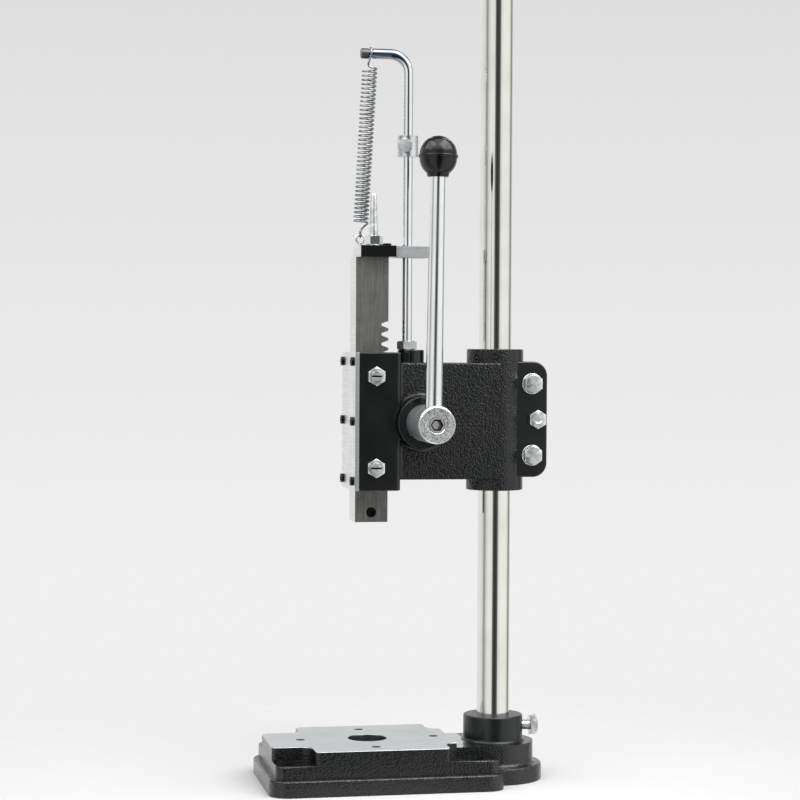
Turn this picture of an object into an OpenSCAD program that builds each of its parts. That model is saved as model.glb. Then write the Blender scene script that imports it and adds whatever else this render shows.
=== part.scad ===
// Hand lever press: a rack and pinion head clamped on a round column over a cast base.
// X runs from the ram back to the column, Y across the machine with the lever on -Y, Z up.
// The origin lies on the ram axis, in the plane that the base stands on.

/* [Base] */
// Length of the base in front of the ram axis
slab_front = 104.5; // [103:0.5:112]
// Length of the base behind the ram axis
slab_back = 123.5; // [118:0.5:126]
// Width of the base over its lip
slab_w = 148; // [142:1:156]
// Height of the corner pockets' floors
slab_h = 29; // [24:1:34]
// Corner radius of the base
slab_r = 18; // [8:1:20]
// Depth of the lip's ledge at the front and the back
lip_ledge = 5.5; // [3:0.5:8]
// Height of the ground table above the slab
table_h = 13; // [8:1:20]
// Length of the wide table in front of the ram axis
table_front = 61; // [56:1:66]
// Length of the wide table behind the ram axis
table_back = 69; // [62:1:74]
// Width of the wide table
table_w = 138; // [130:1:140]
// Reach of the table's front tongue from the ram axis
tongue_reach = 99; // [92:1:104]
// Width of the front tongue
tongue_w = 78; // [60:1:84]
// Corner radius of the table
table_r = 4; // [2:0.5:8]
// Radius of the corner pockets' inner corners
pocket_fillet = 12; // [6:0.5:14]
// Diameter of the die bore through the table
die_d = 38; // [30:1:44]
// Spacing of the tapped table holes front to back
tap_span_x = 132; // [110:1:140]
// Spacing of the tapped table holes across
tap_span_y = 97; // [80:1:110]
// Tapping drill of the table holes
tap_d = 8.5; // [6.8:0.1:10.2]
// Depth of the table holes
tap_depth = 25; // [15:1:30]
// Diameter of the bolt-down holes
foot_hole_d = 11; // [9:0.5:14]
// Front bolt-down holes, in front of the ram axis
foot_front = 86; // [78:1:92]
// Rear bolt-down holes, behind the ram axis
foot_back = 98; // [90:1:104]
// Spacing of the bolt-down holes across
foot_span_y = 112; // [108:1:116]

/* [Column] */
// Diameter of the column
column_d = 32; // [28:0.5:35]
// Length of the column
column_len = 790; // [700:10:1000]
// Height of the column's lower end above the ground
column_seat = 10; // [8:1:20]
// Distance from the ram axis to the column axis
reach = 126; // [124:1:134]
// Diameter of the socket on the base
socket_d = 58.4; // [54:0.2:64]
// Height of the socket above the table
socket_h = 20.5; // [16:0.5:40]
// Diameter of the shoulder round the socket
shoulder_d = 79; // [70:1:84]
// Height of the shoulder above the ground
shoulder_h = 37; // [30:1:40]
// Diameter of the round foot under the column
foot_d = 96; // [86:1:110]
// Height of the round foot and of the base's lip
foot_h = 16; // [10:1:22]
// Radial clearance of the column in its socket and in the clamp
column_play = 0.03; // [0.01:0.01:0.08]

/* [Head] */
// Height of the head's lower face above the ground
head_z = 286; // [280:1:300]
// Height of the ram guide block
block_h = 133; // [126:1:150]
// Width of the guide block
block_w = 76; // [74:1:84]
// Depth of the guide block behind the ram axis
block_back = 24.8; // [22:0.2:28]
// Height of the web between block and clamp
web_h = 113; // [108:1:120]
// Height of the web's lower face above the block's lower face
web_rise = 10; // [6:1:14]
// Diameter of the column clamp, and width of the web
clamp_d = 55.8; // [52:0.2:60]
// Height of the column clamp
clamp_h = 138; // [130:1:150]
// Drop of the clamp's lower end below the block's lower face
clamp_drop = 1.5; // [0:0.5:4]
// Reach of the clamp ears behind the column axis
ear_reach = 47.6; // [44:0.2:56]
// Width over both clamp ears
ear_w = 44; // [40:1:48]
// Corner radius of the clamp ears
ear_r = 14; // [6:1:18]
// Width of the clamp split
split_w = 4; // [2:0.5:6]
// Distance from the column axis to the clamp bolts
bolt_reach = 32; // [30:0.5:34]
// Distance from the column axis to the middle bolt
middle_reach = 37; // [34:0.5:38]
// Spacing of the two clamp bolts
bolt_span = 70; // [60:1:76]
// Diameter of the pinion bearing bosses
boss_d = 51; // [46:0.5:60]
// Reach of the near bearing boss from the middle plane
boss_near = 45; // [42:0.5:50]
// Reach of the far bearing boss from the middle plane
boss_far = 40; // [36:0.5:46]
// Diameter of the guide rod's pad on top of the web
pad_d = 26; // [22:0.5:28]
// Height of the guide rod's pad
pad_h = 12.5; // [8:0.5:16]

/* [Front cover and gib] */
// Thickness of the front cover
cover_t = 4; // [3:0.5:8]
// Diameter of the cover screws
cover_screw_d = 5; // [4:1:6]
// Height of the cover screw heads
cover_head_h = 3; // [2:0.5:5]
// Diameter of the cover screw heads
cover_head_d = 8.5; // [8:0.5:10]
// Distance from the cover's side edge to its screws
cover_edge = 10; // [8:0.5:12]
// Distance from the cover's end to its end screws
cover_end = 9; // [7:0.5:14]
// Length of the cover screws in the block
cover_grip = 14; // [8:1:18]
// Thickness of the gib strip
gib_t = 5; // [3:0.5:7]
// Width of the gib strip
gib_w = 26; // [20:1:30]
// Diameter of the gib set screws
gib_screw_d = 10; // [8:1:10]
// Spacing of the gib set screws
gib_span = 88; // [70:1:100]
// Width across flats of the gib lock nuts
gib_af = 16; // [14:1:18]
// Height of the gib lock nuts
gib_nut_h = 6; // [4:0.5:9]

/* [Ram] */
// Side of the square ram
ram_w = 32; // [30:0.5:32]
// Length of the ram
ram_len = 256.5; // [250:0.5:264]
// Height of the ram's lower end above the ground
ram_z = 254.5; // [240:0.5:262]
// Working stroke of the ram
stroke = 75; // [50:1:76]
// Sliding clearance of the ram on each side
ram_play = 0.05; // [0.02:0.01:0.2]
// Diameter of the tool bore
tool_d = 16; // [10:1:18]
// Depth of the tool bore
tool_depth = 32; // [20:1:40]
// Diameter of the tool set screw
tool_screw_d = 10; // [6:1:10]
// Height of the tool set screw above the ram's lower end
tool_screw_z = 9.5; // [8:0.5:20]

/* [Rack and pinion] */
// Gear module
gear_m = 3; // [2.9:0.05:3.1]
// Teeth on the pinion
teeth = 22; // [21:1:23]
// Face width of the pinion
pinion_w = 28; // [20:1:29]
// Backlash at the pitch line
backlash = 0.4; // [0.2:0.05:0.8]
// Diameter of the pinion shaft
shaft_d = 20; // [16:1:22]
// Height of the pinion axis above the head's lower face
axis_rise = 65.5; // [63:0.5:68]
// Radial running clearance of the shaft in its bushes
shaft_play = 0.03; // [0.01:0.01:0.08]
// Wall of the shaft bushes
bush_wall = 3; // [2:0.5:5]
// Width of the key
key_w = 6; // [5:1:6]
// Height of the key
key_h = 6; // [5:1:6]

/* [Lever] */
// Diameter of the lever hub
hub_d = 35.5; // [33:0.5:42]
// Length of the lever hub
hub_len = 59.5; // [56:0.5:70]
// Distance from the hub's end face to the lever
lever_inset = 17; // [15:0.5:20]
// Length from the pinion axis to the middle of the knob
lever_len = 251.5; // [200:0.5:260]
// Diameter of the lever at the hub
lever_d1 = 16.5; // [14:0.5:18]
// Diameter of the lever at the knob
lever_d2 = 14; // [10:0.5:14]
// Backward lean of the lever at rest, in degrees
lever_lean = 0.7; // [0:0.1:5]
// Diameter of the knob
knob_d = 35.3; // [30:0.1:38]
// Height of the knob
knob_h = 38.7; // [38.2:0.1:44]
// Height of the knob's moulding seam
seam_h = 3; // [1:0.5:4]
// How far the seam stands out
seam_out = 1.1; // [0.4:0.1:2]
// Diameter of the hub screw's head
hub_screw_head = 15; // [13:0.5:16]

/* [Guide rod] */
// Diameter of the guide rod
rod_d = 10; // [8:0.5:11]
// Distance from the ram axis to the guide rod
rod_x = 37.4; // [36:0.1:39]
// Height of the rod's arm above the head's lower face
rod_rise = 422.6; // [400:0.2:450]
// Bend radius of the rod's centre line
rod_bend = 18; // [14:0.5:24]
// Reach of the arm's end in front of the ram axis
arm_reach = 9.5; // [8:0.5:16]
// Width of the spring groove in the arm
groove_w = 4; // [3:0.5:5]
// Depth of the spring groove
groove_t = 0.8; // [0.4:0.1:1.5]
// Diameter of the stop collar
collar_d = 20.4; // [18:0.2:26]
// Height of the stop collar
collar_h = 20.4; // [14:0.2:26]
// Height of the stop collar's middle above the head's lower face
collar_rise = 333.4; // [330:0.2:340]
// Turn of the collar's bolt from straight across, in degrees
collar_turn = 22; // [0:1:45]
// Radial clearance of the collar on the rod
collar_play = 0.05; // [0.03:0.01:0.2]

/* [Ram cap] */
// Thickness of the ram cap and guide arm
cap_t = 11; // [9:0.5:14]
// Reach of the cap in front of the ram axis
cap_front = 12.7; // [11.5:0.1:15]
// Reach of the cap behind the ram axis
cap_back = 22.1; // [21:0.1:24]
// Width of the cap
cap_w = 48; // [40:1:54]
// Reach of the guide arm behind the ram axis
arm_back = 56; // [50:0.5:58]
// Width of the guide arm
arm_w = 24; // [22:1:32]
// Lap of the guide arm in the cap
arm_lap = 12; // [10:0.5:12]
// Clearance round the guide rod in the arm
arm_play = 0.4; // [0.3:0.05:1]
// Diameter of the cap stud
stud_d = 9; // [8:0.5:10]
// Diameter of the stud's tip
stud_tip = 5.5; // [4:0.5:7]
// Height of the stud above the cap
stud_h = 51; // [40:1:60]
// Distance of the stud behind the ram axis
stud_x = 3.5; // [3:0.1:5]
// Offset of the stud across
stud_y = -2; // [-4:0.5:-1]

/* [Return spring] */
// Wire diameter of the return spring
wire_d = 2; // [1.6:0.1:2.2]
// Outer diameter of the return spring
spring_d = 15.5; // [14:0.1:16]
// Number of coils
coils = 36; // [24:1:38]
// Distance of the lower anchor in front of the ram axis
eye_front = 7.5; // [7:0.1:8.3]
// Offset of the lower anchor across
eye_y = 11; // [10.5:0.5:14]

/* [Hidden] */
$fn = 64;
eps = 0.5;
seat_gap = 0.3;

// Fastener sizes shared by bolts, washers and holes
m10_d = 10;
m10_af = 17;
m10_head_h = 6.8;
m10_nut_h = 8.2;
m10_washer_d = 20.3;
m10_washer_t = 2;
middle_af = 16;
hole_play = 0.5;

// Base
table_z = slab_h + table_h;
socket_top = table_z + socket_h;
set_bolt_z = table_z + 8.7;
set_bolt_shank = 8;

// Head
block_front = ram_w / 2 + ram_play;
block_top = head_z + block_h;
web_z = head_z + web_rise;
web_top = web_z + web_h;
clamp_z = head_z - clamp_drop;
clamp_top = clamp_z + clamp_h;
web_w = clamp_d;
ear_z0 = web_z + 1.5;
ear_z1 = web_top + 1.5;
bolt_z = (ear_z0 + ear_z1) / 2;
pad_top = web_top + pad_h;
pad_x = rod_x + 4;

// Rack and pinion
pitch = PI * gear_m;
pitch_r = gear_m * teeth / 2;
tip_r = pitch_r + gear_m;
root_r = pitch_r - 1.25 * gear_m;
rack_line = ram_w / 2 - gear_m;
axis_x = rack_line + pitch_r;
axis_z = head_z + axis_rise;
pocket_w = ram_w - 1;
pocket_r = tip_r + 1.2;
gap_low = -3;
gap_high = ceil((stroke + sqrt(tip_r * tip_r - pow(pitch_r - gear_m, 2))) / pitch - 0.5);

// Gib and cover
gib_play = 0.05;
channel_near = ram_w / 2 + gib_t + ram_play + gib_play;
channel_far = ram_w / 2 + ram_play;
gib_rise = 66;
gib_screw_mid = head_z + gib_rise;
gib_wall = block_w / 2 - channel_near;

// Shaft and hub
bush_d = shaft_d + 2 * shaft_play + 2 * bush_wall;
hub_face = boss_near + 0.5;
hub_end = hub_face + hub_len;
lever_y = hub_end - lever_inset;
shaft_near = lever_y - lever_d1 / 2 - 4;
collar_t = 10;
shaft_far = boss_far + 0.5 + collar_t;
root_d = lever_d1 - 3;
lever_seat = 13;
lever_root = 6.5;
hub_screw_d = 8;
hub_recess = 8;
hub_tap = 14;
pin_d = 5;
pin_y = hub_face + 12;

// Rod, collar and cap
rod_arm_z = head_z + rod_rise;
rod_tail = 14;
rod_nut_h = 8.6;
collar_z = head_z + collar_rise;
ram_top = ram_z + ram_len;
cap_z = ram_top;
cap_top = cap_z + cap_t;
lap_t = cap_t / 2;
cap_screw_d = 5;
cap_screw_y = arm_w / 2 - 5;
cap_screw_x = cap_back - arm_lap / 2;
stud_tail = 22;
stud_af = 16;
stud_nut_h = 8.4;
stud_washer_d = 17;
stud_washer_t = 1.6;

// Spring
groove_r = rod_d / 2 - groove_t;
coil_r = (spring_d - wire_d) / 2;
eye_shank = 5;
eye_wire = 2.4;
eye_r = 4;
eye_rise = 7.5;
wire_gap = 0.25;
rings = 8;
hook_drop = 14;
coil_rise = 23;
hook_r = groove_r + wire_d / 2 + wire_gap;
catch_r = eye_wire / 2 + wire_d / 2 + wire_gap;

// Rectangle from x0 to x1, centred across, with round corners
module round_rect(x0, x1, w, r) {
    translate([x0 + r, -w / 2]) square([x1 - x0 - 2 * r, w]);
    translate([x0, -w / 2 + r]) square([x1 - x0, w - 2 * r]);
    for (x = [x0 + r, x1 - r], y = [-w / 2 + r, w / 2 - r]) translate([x, y]) circle(r);
}

// Slab of a rounded rectangle between two heights
module slab(x0, x1, w, r, z0, z1) {
    translate([0, 0, z0]) linear_extrude(z1 - z0) round_rect(x0, x1, w, r);
}

// Upright cylinder between two heights
module post(x, y, z0, z1, d) {
    translate([x, y, z0]) cylinder(d = d, h = z1 - z0);
}

// Cylinder along Y between two places
module bar_y(x, z, y0, y1, d) {
    translate([x, y1, z]) rotate([90, 0, 0]) cylinder(d = d, h = y1 - y0);
}

// Cylinder along X between two places
module bar_x(y, z, x0, x1, d) {
    translate([x0, y, z]) rotate([0, 90, 0]) cylinder(d = d, h = x1 - x0);
}

// Hexagon prism along Z, given its width across flats
module hex(af, h) {
    cylinder(d = af / cos(30), h = h, $fn = 6);
}

// Hexagon prism along Y with its corners up and down
module hex_y(x, z, y0, y1, af) {
    translate([x, y1, z]) rotate([90, 90, 0]) hex(af, y1 - y0);
}

// Box between two corners
module block_between(a, b) {
    translate(a) cube(b - a);
}

// Places of the four bolt-down holes
foot_places = [for (x = [-foot_front, foot_back], y = [-1, 1]) [x, y * foot_span_y / 2]];

// Round fillets in both inner corners where the table's end meets the neck of half width y
module inner_corners(x, side, y, top) {
    r = pocket_fillet;
    for (s = [-1, 1]) translate([x, s * y, 0]) linear_extrude(top) difference() {
        translate([side * r / 2 - side * eps / 2, s * r / 2 - s * eps / 2]) square(r + eps, center = true);
        translate([side * r, s * r]) circle(r);
    }
}

module base() {
    color("#26292b") difference() {
        union() {
            slab(-slab_front, slab_back, slab_w, slab_r, 0, foot_h);
            slab(-slab_front + lip_ledge, slab_back - lip_ledge, table_w, slab_r / 2, 0, slab_h);
            slab(-table_front, table_back, table_w, table_r, 0, table_z);
            slab(-tongue_reach, 0, tongue_w, table_r, 0, table_z);
            block_between([table_back - eps, -shoulder_d / 2, 0], [reach, shoulder_d / 2, shoulder_h]);
            // The table runs on along the neck as far as the fillets of the rear pockets
            block_between([table_back - eps, -shoulder_d / 2, 0],
                [table_back + pocket_fillet, shoulder_d / 2, table_z]);
            inner_corners(-table_front, -1, tongue_w / 2, table_z);
            inner_corners(table_back, 1, shoulder_d / 2, table_z);
            post(reach, 0, 0, shoulder_h, shoulder_d);
            post(reach, 0, 0, foot_h, foot_d);
            post(reach, 0, 0, socket_top, socket_d);
        }
        post(0, 0, -eps, table_z + eps, die_d);
        post(reach, 0, column_seat, socket_top + eps, column_d + 2 * column_play);
        for (x = [-1, 1]) post(x * tap_span_x / 2, 0, table_z - tap_depth, table_z + eps, tap_d);
        for (y = [-1, 1]) post(0, y * tap_span_y / 2, table_z - tap_depth, table_z + eps, tap_d);
        for (p = foot_places) post(p[0], p[1], -eps, slab_h + eps, foot_hole_d);
        bar_x(0, set_bolt_z, reach, reach + socket_d / 2 + eps, m10_d);
    }
}

module column() {
    color("#d5d7d8") post(reach, 0, column_seat, column_seat + column_len, column_d);
}

module column_set_bolt() {
    start = reach + column_d / 2 + seat_gap;
    head_x = reach + socket_d / 2 + set_bolt_shank;
    color("#c3c6c8") {
        bar_x(0, set_bolt_z, start, head_x, m10_d);
        translate([head_x, 0, set_bolt_z]) rotate([0, 90, 0]) hex(m10_af, m10_head_h);
    }
}

// Side outline of the two clamp ears, with round rear corners
module ear_outline() {
    x1 = reach + ear_reach;
    translate([reach, ear_z0]) square([ear_reach - ear_r, ear_z1 - ear_z0]);
    translate([reach, ear_z0 + ear_r]) square([ear_reach, ear_z1 - ear_z0 - 2 * ear_r]);
    for (z = [ear_z0 + ear_r, ear_z1 - ear_r]) translate([x1 - ear_r, z]) circle(ear_r);
}

// Places of the cover screws across and up
cover_places = [for (y = [-1, 1], z = [0, 0.5, 1])
    [y * (block_w / 2 - cover_edge), head_z + cover_end + z * (block_h - 2 * cover_end)]];

module head() {
    color("#1d2022") difference() {
        union() {
            block_between([-block_front, -block_w / 2, head_z], [block_back, block_w / 2, block_top]);
            block_between([block_back - eps, -web_w / 2, web_z], [reach, web_w / 2, web_top]);
            post(reach, 0, clamp_z, clamp_top, clamp_d);
            translate([0, ear_w / 2, 0]) rotate([90, 0, 0]) linear_extrude(ear_w) ear_outline();
            bar_y(axis_x, axis_z, -boss_near, boss_far, boss_d);
            post(pad_x, 0, web_top - eps, pad_top, pad_d);
        }
        // Channel of the ram, with room for the gib on the near side
        block_between([-block_front - eps, -ram_w / 2 - ram_play, head_z - eps],
            [ram_w / 2 + ram_play, channel_far, block_top + eps]);
        block_between([-gib_w / 2 - gib_play, -channel_near, head_z - eps],
            [gib_w / 2 + gib_play, 0, block_top + eps]);
        // Pocket of the pinion, open below
        bar_y(axis_x, axis_z, -pocket_w / 2, pocket_w / 2, 2 * pocket_r);
        block_between([ram_w / 2 - eps, -pocket_w / 2, web_z - eps],
            [axis_x + pocket_r, pocket_w / 2, axis_z]);
        // Bearing seats of the bushes
        bar_y(axis_x, axis_z, -boss_near - eps, boss_far + eps, bush_d);
        // Column bore, clamp split and bolt holes
        post(reach, 0, clamp_z - eps, clamp_top + eps, column_d + 2 * column_play);
        block_between([reach, -split_w / 2, clamp_z - eps],
            [reach + ear_reach + eps, split_w / 2, clamp_top + eps]);
        for (s = [-1, 1]) bar_y(reach + bolt_reach, bolt_z + s * bolt_span / 2,
            -ear_w / 2 - eps, ear_w / 2 + eps, m10_d + 2 * hole_play);
        bar_y(reach + middle_reach, bolt_z, -ear_w / 2 - eps, 0, m10_d);
        // Tapped holes of the gib screws, the cover screws and the guide rod
        for (s = [-1, 1]) bar_y(0, gib_screw_mid + s * gib_span / 2,
            -block_w / 2 - eps, -channel_near + eps, gib_screw_d);
        for (p = cover_places) bar_x(p[0], p[1], -block_front - eps, cover_grip - block_front,
            cover_screw_d);
        post(rod_x, 0, pad_top - rod_tail, pad_top + eps, rod_d);
    }
}

// Clamp bolts enter from the lever side and end behind their nuts
module clamp_bolts() {
    seat = ear_w / 2 + m10_washer_t;
    color("#c9ccce") for (s = [-1, 1]) {
        z = bolt_z + s * bolt_span / 2;
        bar_y(reach + bolt_reach, z, -seat, seat + m10_nut_h + 2, m10_d);
        hex_y(reach + bolt_reach, z, -seat - m10_head_h, -seat, m10_af);
    }
}

module clamp_washers() {
    color("#c9ccce") for (s = [-1, 1], side = [-1, 1]) difference() {
        bar_y(reach + bolt_reach, bolt_z + s * bolt_span / 2,
            side * (ear_w / 2 + m10_washer_t / 2) - m10_washer_t / 2,
            side * (ear_w / 2 + m10_washer_t / 2) + m10_washer_t / 2, m10_washer_d);
        bar_y(reach + bolt_reach, bolt_z + s * bolt_span / 2, -ear_w, ear_w, m10_d + hole_play);
    }
}

module clamp_nuts() {
    seat = ear_w / 2 + m10_washer_t;
    color("#c9ccce") for (s = [-1, 1]) difference() {
        hex_y(reach + bolt_reach, bolt_z + s * bolt_span / 2, seat, seat + m10_nut_h, m10_af);
        bar_y(reach + bolt_reach, bolt_z + s * bolt_span / 2, seat - eps, seat + m10_nut_h + eps, m10_d);
    }
}

// The middle bolt is tapped through the near ear and bears on the far one to open the split
module middle_bolt() {
    color("#c9ccce") difference() {
        union() {
            bar_y(reach + middle_reach, bolt_z, -ear_w / 2, split_w / 2, m10_d);
            hex_y(reach + middle_reach, bolt_z, -ear_w / 2 - m10_head_h, -ear_w / 2, middle_af);
        }
        bar_y(reach + middle_reach, bolt_z, -ear_w, -ear_w / 2 - m10_head_h + 1.2, m10_d * 0.7);
    }
}

module front_cover() {
    color("#d8dada") difference() {
        block_between([-block_front - cover_t, -block_w / 2, head_z],
            [-block_front, block_w / 2, block_top]);
        for (p = cover_places) bar_x(p[0], p[1], -block_front - cover_t - eps, -block_front + eps,
            cover_screw_d + hole_play);
    }
}

// Socket screws that hold the front cover
module cover_screws() {
    x0 = -block_front - cover_t;
    color("#222426") for (p = cover_places) difference() {
        union() {
            bar_x(p[0], p[1], x0, cover_grip - block_front, cover_screw_d);
            bar_x(p[0], p[1], x0 - cover_head_h, x0, cover_head_d);
        }
        translate([x0 - cover_head_h - eps, p[0], p[1]]) rotate([0, 90, 0])
            hex(cover_screw_d * 0.8, cover_head_h - 0.5);
    }
}

module gib_strip() {
    y1 = -ram_w / 2 - ram_play;
    color("#8c8f90") block_between([-gib_w / 2, y1 - gib_t, head_z], [gib_w / 2, y1, block_top]);
}

// Slotted set screws that press the gib
module gib_screws() {
    y0 = -block_w / 2 - gib_nut_h - 1.5;
    color("#b9bcbd") for (s = [-1, 1]) {
        z = gib_screw_mid + s * gib_span / 2;
        difference() {
            bar_y(0, z, y0, -channel_near + gib_play, gib_screw_d);
            block_between([-gib_screw_d, y0 - eps, z - 0.8], [gib_screw_d, y0 + 1.6, z + 0.8]);
        }
    }
}

module gib_nuts() {
    color("#c9ccce") for (s = [-1, 1]) difference() {
        hex_y(0, gib_screw_mid + s * gib_span / 2, -block_w / 2 - gib_nut_h, -block_w / 2, gib_af);
        bar_y(0, gib_screw_mid + s * gib_span / 2, -block_w / 2 - gib_nut_h - eps, -block_w / 2 + eps,
            gib_screw_d);
    }
}

// Rack gap: half widths at the tip line and at the root line of the rack
gap_tip = pitch / 4 + backlash / 4 + gear_m * tan(20);
gap_root = pitch / 4 + backlash / 4 - 1.25 * gear_m * tan(20);

module rack_gap(k) {
    z = axis_z + k * pitch;
    tip_x = ram_w / 2;
    root_x = rack_line - 1.25 * gear_m;
    grow = eps * tan(20);
    translate([0, ram_w, 0]) rotate([90, 0, 0]) linear_extrude(2 * ram_w)
        polygon([[root_x, z - gap_root], [tip_x + eps, z - gap_tip - grow],
            [tip_x + eps, z + gap_tip + grow], [root_x, z + gap_root]]);
}

module ram() {
    color("#5f5f5b") difference() {
        block_between([-ram_w / 2, -ram_w / 2, ram_z], [ram_w / 2, ram_w / 2, ram_top]);
        for (k = [gap_low : gap_high]) rack_gap(k);
        post(0, 0, ram_z - eps, ram_z + tool_depth, tool_d);
        bar_y(0, ram_z + tool_screw_z, -ram_w / 2 - eps, 0, tool_screw_d);
        post(stud_x, stud_y, ram_top - stud_tail, ram_top + eps, stud_d);
    }
}

module tool_screw() {
    color("#3a3c3d") difference() {
        bar_y(0, ram_z + tool_screw_z, -ram_w / 2 + 0.6, -tool_d / 2 - 0.4, tool_screw_d);
        translate([0, -ram_w / 2 + 0.6 + tool_screw_d / 3, ram_z + tool_screw_z]) rotate([90, 0, 0])
            hex(tool_screw_d / 2, tool_screw_d);
    }
}

// Involute of the pinion: polar angle in degrees and the point at a radius
base_r = pitch_r * cos(20);
function involute(r) = let (t = sqrt(max(0, r * r / (base_r * base_r) - 1))) t * 180 / PI - atan(t);
half_tooth = 90 / teeth + involute(pitch_r) - backlash / 4 / pitch_r * 180 / PI;
function polar(r, a) = [r * cos(a), r * sin(a)];
flank_steps = 6;
flank_low = max(base_r, root_r);
flank_radii = [for (i = [0 : flank_steps]) flank_low + (tip_r - flank_low) * i / flank_steps];
function tooth(k) = let (a = 180 + k * 360 / teeth) concat(
    [polar(root_r, a - half_tooth)],
    [for (r = flank_radii) polar(r, a - half_tooth + involute(r))],
    [for (i = [0 : flank_steps]) let (r = flank_radii[flank_steps - i])
        polar(r, a + half_tooth - involute(r))],
    [polar(root_r, a + half_tooth)]);

module pinion() {
    bore = shaft_d / 2;
    color("#8f9294") translate([axis_x, pinion_w / 2, axis_z]) rotate([90, 0, 0])
        linear_extrude(pinion_w) difference() {
            polygon([for (k = [0 : teeth - 1]) each tooth(k)]);
            circle(bore);
            translate([0, -key_w / 2]) square([bore + key_h / 2 + 0.2, key_w]);
        }
}

module pinion_shaft() {
    color("#a9acad") difference() {
        bar_y(axis_x, axis_z, -shaft_near, shaft_far, shaft_d);
        block_between([axis_x + shaft_d / 2 - key_h / 2, -pinion_w / 2, axis_z - key_w / 2],
            [axis_x + shaft_d, pinion_w / 2, axis_z + key_w / 2]);
        bar_y(axis_x, axis_z, -shaft_near - eps, -shaft_near + hub_tap, hub_screw_d);
        post(axis_x, -pin_y, axis_z - hub_d, axis_z + hub_d, pin_d);
    }
}

module pinion_key() {
    x0 = axis_x + shaft_d / 2 - key_h / 2;
    color("#7d8081") block_between([x0, -pinion_w / 2, axis_z - key_w / 2],
        [x0 + key_h, pinion_w / 2, axis_z + key_w / 2]);
}

module shaft_bushes() {
    color("#b08a4a") for (span = [[-boss_near, -pinion_w / 2 - 0.5], [pinion_w / 2 + 0.5, boss_far]])
        difference() {
            bar_y(axis_x, axis_z, span[0], span[1], bush_d);
            bar_y(axis_x, axis_z, span[0] - eps, span[1] + eps, shaft_d + 2 * shaft_play);
        }
}

// Ring on the shaft's far end that keeps it in its bushes
module shaft_collar() {
    color("#a9acad") difference() {
        bar_y(axis_x, axis_z, boss_far + 0.5, shaft_far, hub_d);
        bar_y(axis_x, axis_z, boss_far, shaft_far + eps, shaft_d);
        post(axis_x, boss_far + 0.5 + collar_t / 2, axis_z, axis_z + hub_d, pin_d);
    }
}

module collar_grub() {
    color("#3a3c3d") post(axis_x, boss_far + 0.5 + collar_t / 2, axis_z + shaft_d / 2 + 0.1,
        axis_z + hub_d / 2 - 0.6, pin_d);
}

// Turns a lever drawn straight up so that it leans back from the pinion axis
module at_lever() {
    translate([axis_x, -lever_y, axis_z]) rotate([0, lever_lean, 0]) children();
}

module hub() {
    color("#b9bcbd") difference() {
        bar_y(axis_x, axis_z, -hub_end, -hub_face, hub_d);
        bar_y(axis_x, axis_z, -shaft_near, -hub_face + eps, shaft_d);
        bar_y(axis_x, axis_z, -hub_end - eps, -hub_face, hub_screw_d + hole_play);
        bar_y(axis_x, axis_z, -hub_end - eps, -hub_end + hub_recess, hub_screw_head + 0.3);
        post(axis_x, -pin_y, axis_z - hub_d, axis_z + hub_d, pin_d);
        at_lever() translate([0, 0, lever_root]) cylinder(d = root_d, h = hub_d);
        at_lever() translate([0, 0, lever_seat]) cylinder(d = lever_d1 + 0.4, h = hub_d);
    }
}

module hub_pin() {
    color("#8f9294") post(axis_x, -pin_y, axis_z - hub_d / 2 + 0.8, axis_z + hub_d / 2 - 0.8, pin_d);
}

module hub_screw() {
    y0 = -hub_end + hub_recess;
    color("#4a4c4e") difference() {
        union() {
            bar_y(axis_x, axis_z, y0, -shaft_near + hub_tap - 2, hub_screw_d);
            bar_y(axis_x, axis_z, -hub_end + 0.4, y0, hub_screw_head);
        }
        translate([axis_x, y0 - 2, axis_z]) rotate([90, 0, 0]) hex(8, hub_recess);
    }
}

module lever() {
    color("#d5d7d8") at_lever() {
        translate([0, 0, lever_root + 0.5]) cylinder(d = root_d, h = lever_seat - lever_root);
        translate([0, 0, lever_seat]) cylinder(d1 = lever_d1, d2 = lever_d2, h = lever_len - lever_seat);
    }
}

// Ball knob, drawn out a little along the lever, with its moulding seam
module knob() {
    rise = (knob_h - knob_d) / 2;
    color("#101112") at_lever() translate([0, 0, lever_len]) difference() {
        union() {
            for (s = [-1, 1]) translate([0, 0, s * rise]) sphere(d = knob_d);
            translate([0, 0, -rise]) cylinder(d = knob_d, h = 2 * rise);
            translate([0, 0, -seam_h / 2]) cylinder(d = knob_d + 2 * seam_out, h = seam_h);
        }
        translate([0, 0, -lever_len + lever_seat])
            cylinder(d1 = lever_d1, d2 = lever_d2, h = lever_len - lever_seat);
    }
}

// Bent rod that carries the spring and steers the guide arm
module guide_rod() {
    groove_x = 0;
    color("#d5d7d8") difference() {
        union() {
            post(rod_x, 0, pad_top - rod_tail, rod_arm_z - rod_bend, rod_d);
            translate([rod_x - rod_bend, 0, rod_arm_z - rod_bend]) rotate([90, 0, 0])
                rotate_extrude(angle = 90) translate([rod_bend, 0]) circle(d = rod_d);
            bar_x(0, rod_arm_z, -arm_reach, rod_x - rod_bend, rod_d);
        }
        difference() {
            bar_x(0, rod_arm_z, groove_x - groove_w / 2, groove_x + groove_w / 2, rod_d + 2 * eps);
            bar_x(0, rod_arm_z, groove_x - groove_w, groove_x + groove_w, 2 * groove_r);
        }
    }
}

module rod_nut() {
    color("#c9ccce") translate([rod_x, 0, pad_top]) difference() {
        hex(m10_af, rod_nut_h);
        translate([0, 0, -eps]) cylinder(d = rod_d, h = rod_nut_h + 2 * eps);
    }
}

// Turns what faces -Y towards the front by the collar's own angle
module at_collar() {
    translate([rod_x, 0, collar_z]) rotate([0, 0, -collar_turn]) children();
}

collar_bolt_d = 8;
collar_bolt_af = 13;
collar_bolt_h = 5.3;

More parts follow.
